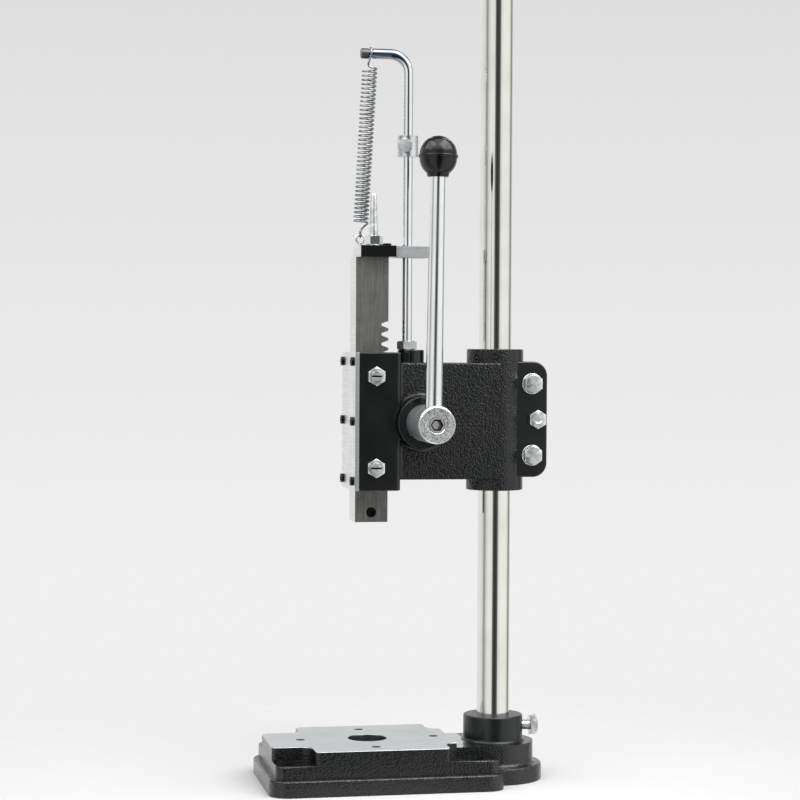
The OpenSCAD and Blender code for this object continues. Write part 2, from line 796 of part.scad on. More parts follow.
module stop_collar() {
    color("#cfd1d2") difference() {
        post(rod_x, 0, collar_z - collar_h / 2, collar_z + collar_h / 2, collar_d);
        post(rod_x, 0, collar_z - collar_h, collar_z + collar_h, rod_d + 2 * collar_play);
        at_collar() bar_y(0, 0, -collar_d, 0, collar_bolt_d);
    }
}

module collar_bolt() {
    color("#c9ccce") at_collar() {
        bar_y(0, 0, -collar_d / 2 - 1, -rod_d / 2 - seat_gap, collar_bolt_d);
        hex_y(0, 0, -collar_d / 2 - 1 - collar_bolt_h, -collar_d / 2 - 1, collar_bolt_af);
    }
}

module ram_cap() {
    color("#1b1d1e") difference() {
        block_between([-cap_front, -cap_w / 2, cap_z], [cap_back, cap_w / 2, cap_top]);
        block_between([cap_back - arm_lap, -arm_w / 2, cap_z + lap_t],
            [cap_back + eps, arm_w / 2, cap_top + eps]);
        post(stud_x, stud_y, cap_z - eps, cap_top + eps, stud_d + hole_play);
        post(-eye_front, eye_y, cap_z - eps, cap_top + eps, eye_shank);
        for (s = [-1, 1]) post(cap_screw_x, s * cap_screw_y, cap_z - eps, cap_top, cap_screw_d);
    }
}

// Bright arm on the cap, with the hole that runs along the guide rod
module guide_arm() {
    color("#cdd0d1") difference() {
        union() {
            block_between([cap_back, -arm_w / 2, cap_z], [arm_back, arm_w / 2, cap_top]);
            block_between([cap_back - arm_lap, -arm_w / 2, cap_z + lap_t],
                [cap_back + eps, arm_w / 2, cap_top]);
        }
        post(rod_x, 0, cap_z - eps, cap_top + eps, rod_d + 2 * arm_play);
        for (s = [-1, 1]) post(cap_screw_x, s * cap_screw_y, cap_z, cap_top + eps, cap_screw_d + hole_play);
    }
}

module arm_screws() {
    color("#3a3c3d") for (s = [-1, 1]) {
        post(cap_screw_x, s * cap_screw_y, cap_z + 1, cap_top, cap_screw_d);
        post(cap_screw_x, s * cap_screw_y, cap_top, cap_top + 2.6, cap_screw_d * 1.6);
    }
}

module cap_stud() {
    taper_z = cap_top + stud_washer_t + stud_nut_h;
    color("#c3c6c8") {
        post(stud_x, stud_y, ram_top - stud_tail, taper_z, stud_d);
        translate([stud_x, stud_y, taper_z])
            cylinder(d1 = stud_d, d2 = stud_tip, h = cap_top + stud_h - taper_z);
    }
}

module cap_washer() {
    color("#c9ccce") difference() {
        post(stud_x, stud_y, cap_top, cap_top + stud_washer_t, stud_washer_d);
        post(stud_x, stud_y, cap_top - eps, cap_top + stud_washer_t + eps, stud_d + hole_play);
    }
}

module cap_nut() {
    color("#c9ccce") translate([stud_x, stud_y, cap_top + stud_washer_t]) difference() {
        hex(stud_af, stud_nut_h);
        translate([0, 0, -eps]) cylinder(d = stud_d, h = stud_nut_h + 2 * eps);
    }
}

// Eye screw in the cap that holds the spring's lower hook
module spring_eye() {
    color("#c3c6c8") {
        post(-eye_front, eye_y, cap_z + 1, cap_top + eye_rise - eye_r, eye_shank);
        translate([-eye_front, eye_y, cap_top + eye_rise]) rotate([90, 0, 0])
            rotate_extrude() translate([eye_r, 0]) circle(d = eye_wire);
    }
}

// Return spring: a hook over the arm's groove, the coils, and a hook in the eye
spring_top = [0, 0, rod_arm_z];
coil_top = rod_arm_z - hook_drop;
coil_low = cap_top + coil_rise;
spring_low = [-eye_front, eye_y, cap_top + eye_rise + eye_r];

// Middle of the spring at a height, on the line between its two anchors
function spring_mid(z) = spring_top + (rod_arm_z - z) / (rod_arm_z - spring_low[2])
    * (spring_low - spring_top);
function around(z, r, a) = let (m = spring_mid(z)) [m[0] + r * cos(a), m[1] + r * sin(a), z];
function bezier(a, b, c, d, t) = pow(1 - t, 3) * a + 3 * t * pow(1 - t, 2) * b
    + 3 * t * t * (1 - t) * c + pow(t, 3) * d;

// The hook runs over the arm from the far side and comes down on the near side
hook = [for (i = [0 : 12]) let (a = -40 + 220 * i / 12)
    [0, hook_r * cos(a), rod_arm_z + hook_r * sin(a)]];
hook_tail = [hook[0] + [0, -sin(40), -cos(40)] * wire_d];
coil_start = around(coil_top, coil_r, -90);
lead = [for (i = [1 : 5])
    bezier(hook[12], hook[12] - [0, 0, 5], coil_start - [6, 0, -1.2], coil_start, i / 6)];
// The coils end a quarter turn early, in front, and the wire drops from there to the eye
steps = coils * rings - rings / 4;
coil = [for (i = [0 : steps])
    around(coil_top - (coil_top - coil_low) * i / steps, coil_r, -90 + 360 * i / rings)];
catch = [for (i = [0 : 12]) let (a = 180 + 220 * i / 12)
    spring_low + [0, catch_r * cos(a), catch_r * sin(a)]];
drop = [for (i = [1 : 6])
    bezier(coil[steps], coil[steps] - [0, 5, 2], catch[0] + [-1.5, -0.8, 6], catch[0], i / 7)];
catch_tail = [catch[12] + [0, -sin(40), cos(40)] * wire_d];
path = concat(hook_tail, hook, lead, coil, drop, catch, catch_tail);

// Least distance of the wire to itself, past the points that follow one another round a bend
near_skip = 5;
self_gap = min([for (i = [0 : len(path) - 1 - near_skip])
    min([for (j = [i + near_skip : min(len(path) - 1, i + 3 * rings)]) norm(path[i] - path[j])])]) - wire_d;
echo(spring_least_gap = self_gap);

// Ring of the tube at a point of a path, turned with the smallest twist from a fixed side
sides = 6;
function unit(v) = v / norm(v);
function heading(p, i) = unit(p[min(i + 1, len(p) - 1)] - p[max(i - 1, 0)]);
function carry(u, t) = unit(u - (u * t) * t);
function frames(p, i, u) = i == len(p) ? [] : let (t = heading(p, i), v = carry(u, t))
    concat([[p[i], v, cross(t, v)]], frames(p, i + 1, v));

module tube(p, d) {
    r = d / 2;
    n = len(p);
    fr = frames(p, 0, [1, 0, 0]);
    points = concat([for (f = fr) each [for (k = [0 : sides - 1])
        f[0] + r * (cos(360 * k / sides) * f[1] + sin(360 * k / sides) * f[2])]]);
    walls = [for (i = [0 : n - 2]) each [for (k = [0 : sides - 1])
        let (a = i * sides + k, b = i * sides + (k + 1) % sides)
            each [[a, b + sides, b], [a, a + sides, b + sides]]]];
    cap0 = [for (k = [1 : sides - 2]) [0, k, k + 1]];
    cap1 = [for (k = [1 : sides - 2]) [(n - 1) * sides, (n - 1) * sides + k + 1, (n - 1) * sides + k]];
    polyhedron(points = points, faces = concat(walls, cap0, cap1));
}

module return_spring() {
    color("#b4b7b8") tube(path, wire_d);
}

base();
column();
column_set_bolt();
head();
clamp_bolts();
clamp_washers();
clamp_nuts();
middle_bolt();
front_cover();
cover_screws();
gib_strip();
gib_screws();
gib_nuts();
ram();
tool_screw();
pinion();
pinion_shaft();
pinion_key();
shaft_bushes();
shaft_collar();
collar_grub();
hub();
hub_pin();
hub_screw();
lever();
knob();
guide_rod();
rod_nut();
stop_collar();
collar_bolt();
ram_cap();
guide_arm();
arm_screws();
cap_stud();
cap_nut();
cap_washer();
spring_eye();
return_spring();
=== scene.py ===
import math

import bmesh
import bpy
from mathutils import Matrix, Vector


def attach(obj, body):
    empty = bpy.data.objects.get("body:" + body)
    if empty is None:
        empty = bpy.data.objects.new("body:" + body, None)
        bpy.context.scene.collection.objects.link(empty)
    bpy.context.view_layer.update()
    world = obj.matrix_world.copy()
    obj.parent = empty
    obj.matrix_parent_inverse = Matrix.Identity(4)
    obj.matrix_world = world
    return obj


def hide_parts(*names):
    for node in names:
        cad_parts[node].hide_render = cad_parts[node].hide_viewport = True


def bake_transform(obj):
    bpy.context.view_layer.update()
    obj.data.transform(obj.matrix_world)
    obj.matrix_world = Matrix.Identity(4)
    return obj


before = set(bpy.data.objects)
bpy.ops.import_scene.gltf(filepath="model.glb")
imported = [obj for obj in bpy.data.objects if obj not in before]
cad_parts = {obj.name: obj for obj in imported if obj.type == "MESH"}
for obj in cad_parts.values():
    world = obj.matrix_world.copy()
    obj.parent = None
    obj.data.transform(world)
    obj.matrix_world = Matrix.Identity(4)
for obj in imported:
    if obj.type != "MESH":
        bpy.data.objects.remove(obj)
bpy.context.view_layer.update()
print("frame loaded:", len(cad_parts), "nodes")

# Places that several pieces share, in millimetres
places = {"column": (126, 0), "lever": (46, 351.5), "rod": 37.4, "stop": 619.4, "springArm": 708.6, "stud": (3.5, -2),
          "clampBolts": ((158, 389), (158, 319)), "middleBolt": (163, 354), "gibScrews": (308, 396)}


def mm(*values):
    return values[0] * 0.001 if len(values) == 1 else Vector(values) * 0.001


def paint(hexColour):
    # sRGB hex to linear
    parts = [int(hexColour[i:i + 2], 16) / 255 for i in (1, 3, 5)]
    return [p / 12.92 if p <= 0.04045 else ((p + 0.055) / 1.055) ** 2.4 for p in parts] + [1.0]


def addNode(tree, kind, values=None, links=None, **settings):
    node = tree.nodes.new(kind)
    for key, value in settings.items():
        setattr(node, key, value)
    for socket, value in (values or {}).items():
        node.inputs[socket].default_value = value
    for socket, source in (links or {}).items():
        tree.links.new(source, node.inputs[socket])
    return node


def newMaterial(name):
    material = bpy.data.materials.new(name)
    material.use_nodes = True
    tree = material.node_tree
    tree.nodes.clear()
    return material, tree, addNode(tree, "ShaderNodeTexCoord").outputs["Object"]


def setRamp(node, stops):
    elements = node.color_ramp.elements
    elements.remove(elements[1])
    elements[0].position = stops[0][0]
    for place, colour in stops:
        element = elements[0] if place == stops[0][0] else elements.new(place)
        element.color = paint(colour) if isinstance(colour, str) else [colour] * 3 + [1.0]


def finishMaterial(tree, values, pattern, tones, span, rough, relief=None, invert=False):
    # colour and roughness follow one pattern over its span; relief is a pattern, its strength and its depth;
    # values are even all over the surface, so they go on the shader's own sockets
    tone = addNode(tree, "ShaderNodeValToRGB", links={"Fac": pattern})
    setRamp(tone, tones)
    gloss = addNode(tree, "ShaderNodeMapRange", {"From Min": span[0], "From Max": span[1], "To Min": rough[0],
                    "To Max": rough[1]}, {"Value": pattern})
    links = {"Base Color": tone.outputs["Color"], "Roughness": gloss.outputs["Result"]}
    if relief:
        height, strength, depth = relief
        bump = addNode(tree, "ShaderNodeBump", {"Strength": strength, "Distance": mm(depth)}, {"Height": height},
                       invert=invert)
        links["Normal"] = bump.outputs["Normal"]
    shader = addNode(tree, "ShaderNodeBsdfPrincipled", values, links)
    addNode(tree, "ShaderNodeOutputMaterial", links={"Surface": shader.outputs["BSDF"]})
    return shader, tone.outputs["Color"]


metal = {"Metallic": 1.0}
enamel = {"IOR": 1.5}

# Black wrinkle enamel, sprayed thick and baked: cells about 2 mm wide with a soft sheen on the crests,
# wetter on the base, where the paint flowed together over the wrinkles
wrinkleLook = {"head": {"height": 0.8, "rough": (0.12, 0.32), "wet": 0.0},
               "base": {"height": 0.68, "rough": (0.1, 0.26), "wet": 0.3},
               "cell": 1.9, "warp": 4.0, "bend": 0.9, "fine": 1.6, "low": "#040506", "high": "#101417"}


def wrinkleEnamel(place):
    material, tree, where = newMaterial("wrinkle_enamel_" + place)
    s = wrinkleLook
    look = s[place]
    warp = addNode(tree, "ShaderNodeTexNoise", {"Scale": 1 / mm(s["warp"]), "Detail": 2.0}, {"Vector": where})
    bend = addNode(tree, "ShaderNodeVectorMath", {"Scale": mm(s["bend"])}, {"Vector": warp.outputs["Color"]},
                   operation="SCALE")
    bent = addNode(tree, "ShaderNodeVectorMath", links={0: where, 1: bend.outputs["Vector"]}, operation="ADD")
    cells = addNode(tree, "ShaderNodeTexVoronoi", {"Scale": 1 / mm(s["cell"]), "Smoothness": 0.6},
                    {"Vector": bent.outputs["Vector"]}, feature="SMOOTH_F1")
    fine = addNode(tree, "ShaderNodeTexNoise", {"Scale": 1 / mm(s["fine"]), "Detail": 2.0}, {"Vector": where})
    height = addNode(tree, "ShaderNodeMath", {1: 0.35}, {0: fine.outputs["Fac"], 2: cells.outputs["Distance"]},
                     operation="MULTIPLY_ADD").outputs["Value"]
    values = {**enamel, "Coat Weight": look["wet"], "Coat Roughness": 0.1}
    finishMaterial(tree, values, height, [(0.2, s["high"]), (0.8, s["low"])], (0.2, 0.75), look["rough"],
                   (height, 0.9, look["height"]), True)
    return material


# Black enamel on a machined or filled face: smooth, with a faint orange peel about 3 mm across
def smoothEnamel(name, colours, rough, peel):
    material, tree, where = newMaterial(name)
    drift = addNode(tree, "ShaderNodeTexNoise", {"Scale": 1 / mm(28.0), "Detail": 4.0}, {"Vector": where})
    skin = addNode(tree, "ShaderNodeTexNoise", {"Scale": 1 / mm(3.0), "Detail": 2.0}, {"Vector": where})
    finishMaterial(tree, enamel, drift.outputs["Fac"], [(0.3, colours[0]), (0.7, colours[1])], (0.0, 1.0), rough,
                   (skin.outputs["Fac"], 0.25, peel))
    return material


# Steel or iron cut in one direction: streaks along the cut, brighter and duller by turns
def cutSteel(name, colours, rough, grain, depth=0.02, blotch=45.0):
    # grain is the streaks' length along each axis, in millimetres
    material, tree, where = newMaterial(name)
    along = addNode(tree, "ShaderNodeMapping", {"Scale": [1 / mm(g) for g in grain]}, {"Vector": where})
    lines = addNode(tree, "ShaderNodeTexNoise", {"Scale": 1.0, "Detail": 4.0, "Roughness": 0.65},
                    {"Vector": along.outputs["Vector"]})
    patches = addNode(tree, "ShaderNodeTexNoise", {"Scale": 1 / mm(blotch), "Detail": 3.0}, {"Vector": where})
    both = addNode(tree, "ShaderNodeMath", {1: 0.5}, {0: patches.outputs["Fac"], 2: lines.outputs["Fac"]},
                   operation="MULTIPLY_ADD")
    finishMaterial(tree, metal, both.outputs["Value"], [(0.55, colours[0]), (0.95, colours[1])], (0.5, 1.0),
                   rough[::-1], (lines.outputs["Fac"], 0.4, depth))  # the brighter streaks are the smoother ones
    return material


# Hard chrome on ground bar: a mirror with faint haze left by handling; where a painted shade is given, the colour turns
# a darker blue-grey from a height up, painted shade for the dark reflection along the rod's arm
def hardChrome(name, colours, rough=(0.05, 0.13), paintedShade=None):
    material, tree, where = newMaterial(name)
    haze = addNode(tree, "ShaderNodeTexNoise", {"Scale": 1 / mm(35.0), "Detail": 5.0}, {"Vector": where})
    shader, colour = finishMaterial(tree, metal, haze.outputs["Fac"], [(0.3, colours[0]), (0.7, colours[1])],
                                    (0.3, 0.8), rough)
    if paintedShade:
        # painted shade: above the given height the chrome's colour is mixed into a darker blue-grey
        split = addNode(tree, "ShaderNodeSeparateXYZ", links={"Vector": where})
        shadeRise = addNode(tree, "ShaderNodeMapRange", {"From Min": mm(paintedShade["low"]), "From Max": mm(paintedShade["high"])},
                       {"Value": split.outputs["Z"]})
        # sockets 6 and 7 are the mix node's two colours, and output 2 is the mixed one
        shadedColour = addNode(tree, "ShaderNodeMix", {7: paint(paintedShade["colour"])}, {0: shadeRise.outputs["Result"], 6: colour},
                         data_type="RGBA")
        tree.links.new(shadedColour.outputs[2], shader.inputs["Base Color"])
    return material


# Turned steel: rings round the axis that it was turned on, 1.2 mm apart (drawn coarser than the real feed to show)
def turnedSteel(name, centre, direction, colours, rough, grain=0.12):
    material, tree, where = newMaterial(name)
    ringStep = mm(1.2162)  # the wave node runs through 20 radians in a unit
    middle = addNode(tree, "ShaderNodeMapping", {"Location": -mm(*centre)}, {"Vector": where})
    rings = addNode(tree, "ShaderNodeTexWave", {"Scale": math.tau / 20 / ringStep, "Distortion": 0.8, "Detail": 2.0},
                    {"Vector": middle.outputs["Vector"]}, wave_type="RINGS", rings_direction=direction)
    patches = addNode(tree, "ShaderNodeTexNoise", {"Scale": 1 / mm(16.0), "Detail": 4.0}, {"Vector": where})
    grit = addNode(tree, "ShaderNodeTexNoise", {"Scale": 1 / mm(1.1), "Detail": 2.0}, {"Vector": where})
    cloudy = addNode(tree, "ShaderNodeMath", {1: 0.5}, {0: patches.outputs["Fac"], 2: grit.outputs["Fac"]},
                     operation="MULTIPLY_ADD")
    both = addNode(tree, "ShaderNodeMath", {1: 0.15}, {0: rings.outputs["Fac"], 2: cloudy.outputs["Value"]},
                   operation="MULTIPLY_ADD").outputs["Value"]
    finishMaterial(tree, metal, both, [(0.66, colours[0]), (0.98, colours[1])], (0.5, 1.1), rough, (both, 0.5, grain))
    return material


# Zinc plate over drawn steel, black oxide, spring wire and bronze: soft clouds, a little speckle
def platedSteel(name, colours, rough, speckle=1.2):
    material, tree, where = newMaterial(name)
    clouds = addNode(tree, "ShaderNodeTexNoise", {"Scale": 1 / mm(7.0), "Detail": 5.0, "Roughness": 0.6},
                     {"Vector": where})
    grit = addNode(tree, "ShaderNodeTexNoise", {"Scale": 1 / mm(speckle), "Detail": 2.0}, {"Vector": where})
    both = addNode(tree, "ShaderNodeMath", {1: 0.4}, {0: grit.outputs["Fac"], 2: clouds.outputs["Fac"]},
                   operation="MULTIPLY_ADD")
    finishMaterial(tree, metal, both.outputs["Value"], [(0.56, colours[0]), (0.84, colours[1])], (0.45, 0.95), rough,
                   (grit.outputs["Fac"], 0.5, 0.14))
    return material


# Phenolic moulding, black, buffed: hard gloss with very fine polishing waves
def phenolicBlack():
    material, tree, where = newMaterial("phenolic_black")
    waves = addNode(tree, "ShaderNodeTexNoise", {"Scale": 1 / mm(6.0), "Detail": 3.0},
                    {"Vector": where}).outputs["Fac"]
    finishMaterial(tree, {"IOR": 1.45}, waves, [(0.3, "#070808"), (0.7, "#0e0f10")], (0.0, 1.0), (0.16, 0.26),
                   (waves, 0.12, 0.15))
    return material


barChrome = ("#f1f4f4", "#e6e9e9")
# painted shade on the rod's upper bend and arm: the chrome turns a darker blue-grey from 695 to 705 mm up
armPaintedShade = {"low": 695.0, "high": 705.0, "colour": "#87919a"}
hubCentre = (places["lever"][0], 0, places["lever"][1])
stopCentre = (places["rod"], 0, places["stop"])
looks = {
    "wrinkle": wrinkleEnamel("head"),
    "wetWrinkle": wrinkleEnamel("base"),
    "satin": smoothEnamel("satin_enamel", ("#0b0d0d", "#111414"), (0.16, 0.25), 0.05),
    "gloss": smoothEnamel("gloss_enamel", ("#0c0e0f", "#15181a"), (0.1, 0.2), 0.12),
    "socket": smoothEnamel("socket_enamel", ("#0b0d0e", "#14181a"), (0.24, 0.36), 0.4),
    "cap": smoothEnamel("cap_enamel", ("#070808", "#0d0e0e"), (0.12, 0.2), 0.05),
    "table": cutSteel("ground_iron", ("#b9bfc0", "#c9cecf"), (0.16, 0.24), (60, 1.2, 5), 0.01),
    "bored": cutSteel("bored_iron", ("#6a6d6f", "#979b9d"), (0.28, 0.42), (20, 20, 0.7)),
    "cover": cutSteel("ground_plate", ("#d2d4d4", "#eeefef"), (0.26, 0.4), (5, 70, 1.1)),
    # the ram's sides, darker than its front face, which is drawn in the ground-plate look
    "ram": cutSteel("dark_ram_bar", ("#686865", "#92928e"), (0.42, 0.56), (0.9, 0.9, 30), 0.03, 13.0),
    "arm": cutSteel("bright_bar", ("#a2a6a7", "#c6c9ca"), (0.4, 0.54), (40, 1.4, 1.4), 0.02, 14.0),
    "darkEnd": cutSteel("dark_rod_end", ("#3a3c3e", "#6c6f72"), (0.34, 0.48), (0.9, 20, 20), 0.1),
    "gear": cutSteel("cut_gear_steel", ("#7d8082", "#a6a9ab"), (0.28, 0.42), (1.0, 40, 1.0)),
    "chrome": hardChrome("hard_chrome", barChrome),
    "rod": hardChrome("chrome_with_painted_shade", barChrome, paintedShade=armPaintedShade),
    "handle": hardChrome("buffed_chrome", barChrome, (0.15, 0.24)),
    "column": hardChrome("ground_chrome", ("#ecede6", "#dfe0d8")),
    "hub": turnedSteel("turned_hub", hubCentre, "Y", ("#949798", "#fafbfb"), (0.3, 0.46), 0.16),
    # painted shade: a darker copy of the hub's turned steel, for the hub's barrel beside the casting; the shaft's end
    # collar takes it too
    "barrel": turnedSteel("turned_steel_painted_shade", hubCentre, "Y", ("#5c5f60", "#b8bbbc"), (0.42, 0.56), 0.2),
    # painted highlight: near-white chrome on the hub's chamfer ring, brighter than the turned steel beside it; the hub
    # screw's face and rim take it too
    "rim": hardChrome("bright_rim_painted_highlight", ("#f2f3f3", "#e8eaea"), (0.22, 0.32)),
    "collar": turnedSteel("turned_collar", stopCentre, "Z", ("#bcbfc0", "#dcdedf"), (0.2, 0.32)),
    "zinc": platedSteel("zinc_plate", ("#c8cdcf", "#fefefe"), (0.26, 0.42)),
    "oxide": platedSteel("black_oxide", ("#17181a", "#2b2d2f"), (0.28, 0.42)),
    "bronze": platedSteel("bearing_bronze", ("#8c6a34", "#b48c4c"), (0.28, 0.42)),
    "spring": platedSteel("spring_steel", ("#6c7072", "#a6a9ab"), (0.14, 0.26), 0.6),
    "knob": phenolicBlack(),
}
print("materials:", len(looks))

# Helpers that shape meshes, in millimetres until a piece is finished
mergeGap = 0.0005
hexLook = {"segments": 60, "face": 0.475, "seat": 0.48, "cone": 0.577, "countersink": 0.7, "middle": 0.4}
threadLook = {"steps": 28, "depth": 0.55, "crest": 0.12, "mergeGap": 0.0008}
copyLook = {"mergeGap": 0.002, "flat": 0.4}
sharpEdge = 30  # degrees past which an edge is rounded
sunk = 0.5  # how far added rings and fillets run into a casting
facing, across = 0.9, 0.5  # a face looks along an axis past the first, and across it under the second


def latheProfile(bm, profile, steps):
    # (radius, height) pairs turned round Z; radius 0 closes an end
    verts = [bm.verts.new((r, 0, h)) for r, h in profile]
    edges = [bm.edges.new(pair) for pair in zip(verts, verts[1:])]
    bmesh.ops.spin(bm, geom=verts + edges, cent=(0, 0, 0), axis=(0, 0, 1), dvec=(0, 0, 0), angle=math.tau,
                   steps=steps, use_merge=True, use_normal_flip=False, use_duplicate=False)
    bmesh.ops.remove_doubles(bm, verts=bm.verts[:], dist=mergeGap)
    bmesh.ops.recalc_face_normals(bm, faces=bm.faces[:])


def growEdges(bm, edges):
    # pull a loop of edges out into new faces: the new rim's points and edges
    made = bmesh.ops.extrude_edge_only(bm, edges=edges)["geom"]
    rim = [g for g in made if isinstance(g, bmesh.types.BMVert)]
    fresh = set(rim)
    return rim, [g for g in made if isinstance(g, bmesh.types.BMEdge) and all(v in fresh for v in g.verts)]


def hexBody(bm, flats, high, bore=0.0, bothEnds=False):
    # a hexagon from Z 0 up, its corners turned off to a 30 degree cone; a corner points along X
    s = hexLook
    face, seat = flats * s["face"], flats * s["seat"]
    ring = bmesh.ops.create_circle(bm, cap_ends=False, segments=s["segments"], radius=1.0)["verts"]
    rim = bm.edges[:]

    def drop(v):
        return (v.co.xy.length - face) * s["cone"]

    def grow(edges, radius, height):
        points, edges = growEdges(bm, edges)
        for v in points:
            v.co = (*(v.co.xy.normalized() * radius), height)
        return edges

    for v in ring:
        turn = math.atan2(v.co.y, v.co.x)
        reach = flats / 2 / math.cos((turn % (math.pi / 3)) - math.pi / 6)
        v.co = (reach * math.cos(turn), reach * math.sin(turn), 0)
        v.co.z = drop(v) if bothEnds else 0
    points, top = growEdges(bm, rim)
    for v in points:
        v.co.z = high - drop(v)
    lead = s["countersink"] if bore else 0.0
    inner = max(bore, s["middle"])
    top = grow(grow(top, face, high), inner + lead, high)
    floor = grow(grow(rim, face if bothEnds else seat, 0), inner, 0)
    if bore:
        grow(grow(top, bore, high - lead), bore, 0)
    else:
        bmesh.ops.contextual_create(bm, geom=top)
        bmesh.ops.contextual_create(bm, geom=floor)
    bmesh.ops.remove_doubles(bm, verts=bm.verts[:], dist=mergeGap)


def threadRod(bm, radius, low, high, pitch=1.5):
    # a V thread wound by the spin operator, then cut square at both ends and closed
    s = threadLook
    turns = math.ceil((high - low) / pitch) + 2
    root = radius - pitch * s["depth"]
    groove = ((radius, 0), (radius, s["crest"]), (root, 0.5), (radius, 1 - s["crest"]), (radius, 1))
    verts = [bm.verts.new((r, 0, low - pitch + pitch * h)) for r, h in groove]
    edges = [bm.edges.new(pair) for pair in zip(verts, verts[1:])]
    bmesh.ops.spin(bm, geom=verts + edges, cent=(0, 0, 0), axis=(0, 0, 1), dvec=(0, 0, pitch / s["steps"]),
                   angle=math.tau * turns, steps=s["steps"] * turns, use_merge=False, use_normal_flip=False,
                   use_duplicate=False)
    bmesh.ops.remove_doubles(bm, verts=bm.verts[:], dist=s["mergeGap"])
    for height, normal in ((low, (0, 0, -1)), (high, (0, 0, 1))):
        bmesh.ops.bisect_plane(bm, geom=bm.verts[:] + bm.edges[:] + bm.faces[:], plane_co=(0, 0, height),
                               plane_no=normal, clear_outer=True)
    bmesh.ops.edgeloop_fill(bm, edges=[e for e in bm.edges if e.is_boundary])


def aim(origin, axis, corner=(1, 0, 0)):
    # matrix that stands a shape drawn along Z on a point, along an axis, its X side near corner
    up = Vector(axis).normalized()
    side = Vector(corner) - Vector(corner).dot(up) * up
    side.normalize()
    turn = Matrix((side, up.cross(side), up)).transposed().to_4x4()
    return Matrix.Translation(Vector(origin)) @ turn


def finishPiece(bm, name, body, node, look, sharp=34, weighted=True):
    # millimetres to metres, smooth shading with sharp edges kept, then the frame calls
    bmesh.ops.scale(bm, vec=(0.001, 0.001, 0.001), verts=bm.verts[:])
    bm.normal_update()
    for edge in bm.edges:
        edge.smooth = edge.calc_face_angle(0) < math.radians(sharp)
    for face in bm.faces:
        face.smooth = True
    mesh = bpy.data.meshes.new(name)
    bm.to_mesh(mesh)
    bm.free()
    if "custom_normal" in mesh.attributes:
        # came with the CAD copy, wrong once its edges are rounded
        mesh.attributes.remove(mesh.attributes["custom_normal"])
    piece = bpy.data.objects.new(name, mesh)
    bpy.context.scene.collection.objects.link(piece)
    for one in look if isinstance(look, tuple) else (look,):
        mesh.materials.append(looks[one])
    if weighted:
        normals = piece.modifiers.new("even_normals", "WEIGHTED_NORMAL")
        normals.keep_sharp = True
    if body:
        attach(piece, body)
    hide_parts(node)
    return piece


def nodeCopy(node):
    # merged copy of a CAD node's mesh in millimetres, its flat faces joined up
    bm = bmesh.new()
    bm.from_mesh(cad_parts[node].data)
    bmesh.ops.scale(bm, vec=(1000, 1000, 1000), verts=bm.verts[:])
    bmesh.ops.remove_doubles(bm, verts=bm.verts[:], dist=copyLook["mergeGap"])
    bmesh.ops.dissolve_limit(bm, angle_limit=math.radians(copyLook["flat"]), use_dissolve_boundaries=False,
                             verts=bm.verts[:], edges=bm.edges[:])
    return bm


def roundEdges(bm, width, segments, chosen=None, clamp=True, outward=False):
    edges = [e for e in bm.edges if len(e.link_faces) == 2 and e.calc_face_angle(0) > math.radians(sharpEdge)
             and (e.is_convex or not outward) and (chosen is None or chosen((e.verts[0].co + e.verts[1].co) / 2))]
    if edges:
        bmesh.ops.bevel(bm, geom=edges, offset=width, offset_type="OFFSET", segments=segments, profile=0.5,
                        affect="EDGES", clamp_overlap=clamp, material=-1)


def addShape(bm, build, matrix):
    part = bmesh.new()
    build(part)
    bmesh.ops.recalc_face_normals(part, faces=part.faces[:])
    bmesh.ops.transform(part, matrix=matrix, verts=part.verts[:])
    mesh = bpy.data.meshes.new("shape")
    part.to_mesh(mesh)
    part.free()
    bm.from_mesh(mesh)
    bpy.data.meshes.remove(mesh)


def colourFaces(bm, pick):
    for face in bm.faces:
        face.material_index = pick(face.calc_center_median(), face.normal)


def around(point, x, y):
    return math.hypot(point.x - x, point.y - y)


def aroundY(point, x, z):
    return math.hypot(point.x - x, point.z - z)


def near(value, *targets, gap=0.3):
    return any(abs(value - target) < gap for target in targets)


def hollowCurve(size):
    # quarter hollow, from along the ground to up the wall
    turns = [math.radians(a) for a in range(0, 91, 10)]
    return [(size * (1 - math.sin(a)), size * (1 - math.cos(a))) for a in turns]


def hollowRing(bm, radius, fillet):
    # cast fillet round the foot of a boss or a post
    inner = radius - sunk
    curve = [(radius + u, v) for u, v in hollowCurve(fillet)]
    latheProfile(bm, [(inner, -sunk), (radius + fillet, -sunk)] + curve + [(inner, fillet), (inner, -sunk)], 96)


# Cast base: painted sides, ground table, bored holes
baseLook = {
    # levels
    "lip": 16.0, "wall": 29.0, "shoulder": 37.0, "top": 42.0, "socket": 62.5,
    # widths of the rounded edges
    "footFillet": 7.0, "lipEdge": 2.6, "wallEdge": 2.0, "topEdge": 0.7, "socketEdge": 1.4, "boreEdge": 0.6,
    "tapEdge": 0.4,
    # where the holes are, and how far from a hole's middle its rim is looked for
    "holes": {"bore": ((0, 0),), "column": (places["column"],), "feet": ((-86, -56), (-86, 56), (98, -56), (98, 56)),
              "taps": ((-66, 0), (66, 0), (0, -48.5), (0, 48.5))},
    "reach": {"bore": 20.0, "column": 16.5, "feet": 6.0, "taps": 5.0},
    # fillets round the column: radius, level and size; socketReach is just outside the upper one
    "rings": ((29.2, 37.0, 3.5), (39.5, 16.0, 4.0)), "socketReach": 34.0,
    # X of the corner between slab and round foot, and of the end of the ground strip on the neck
    "footCorner": 123.5, "groundEnd": 98.0,
}


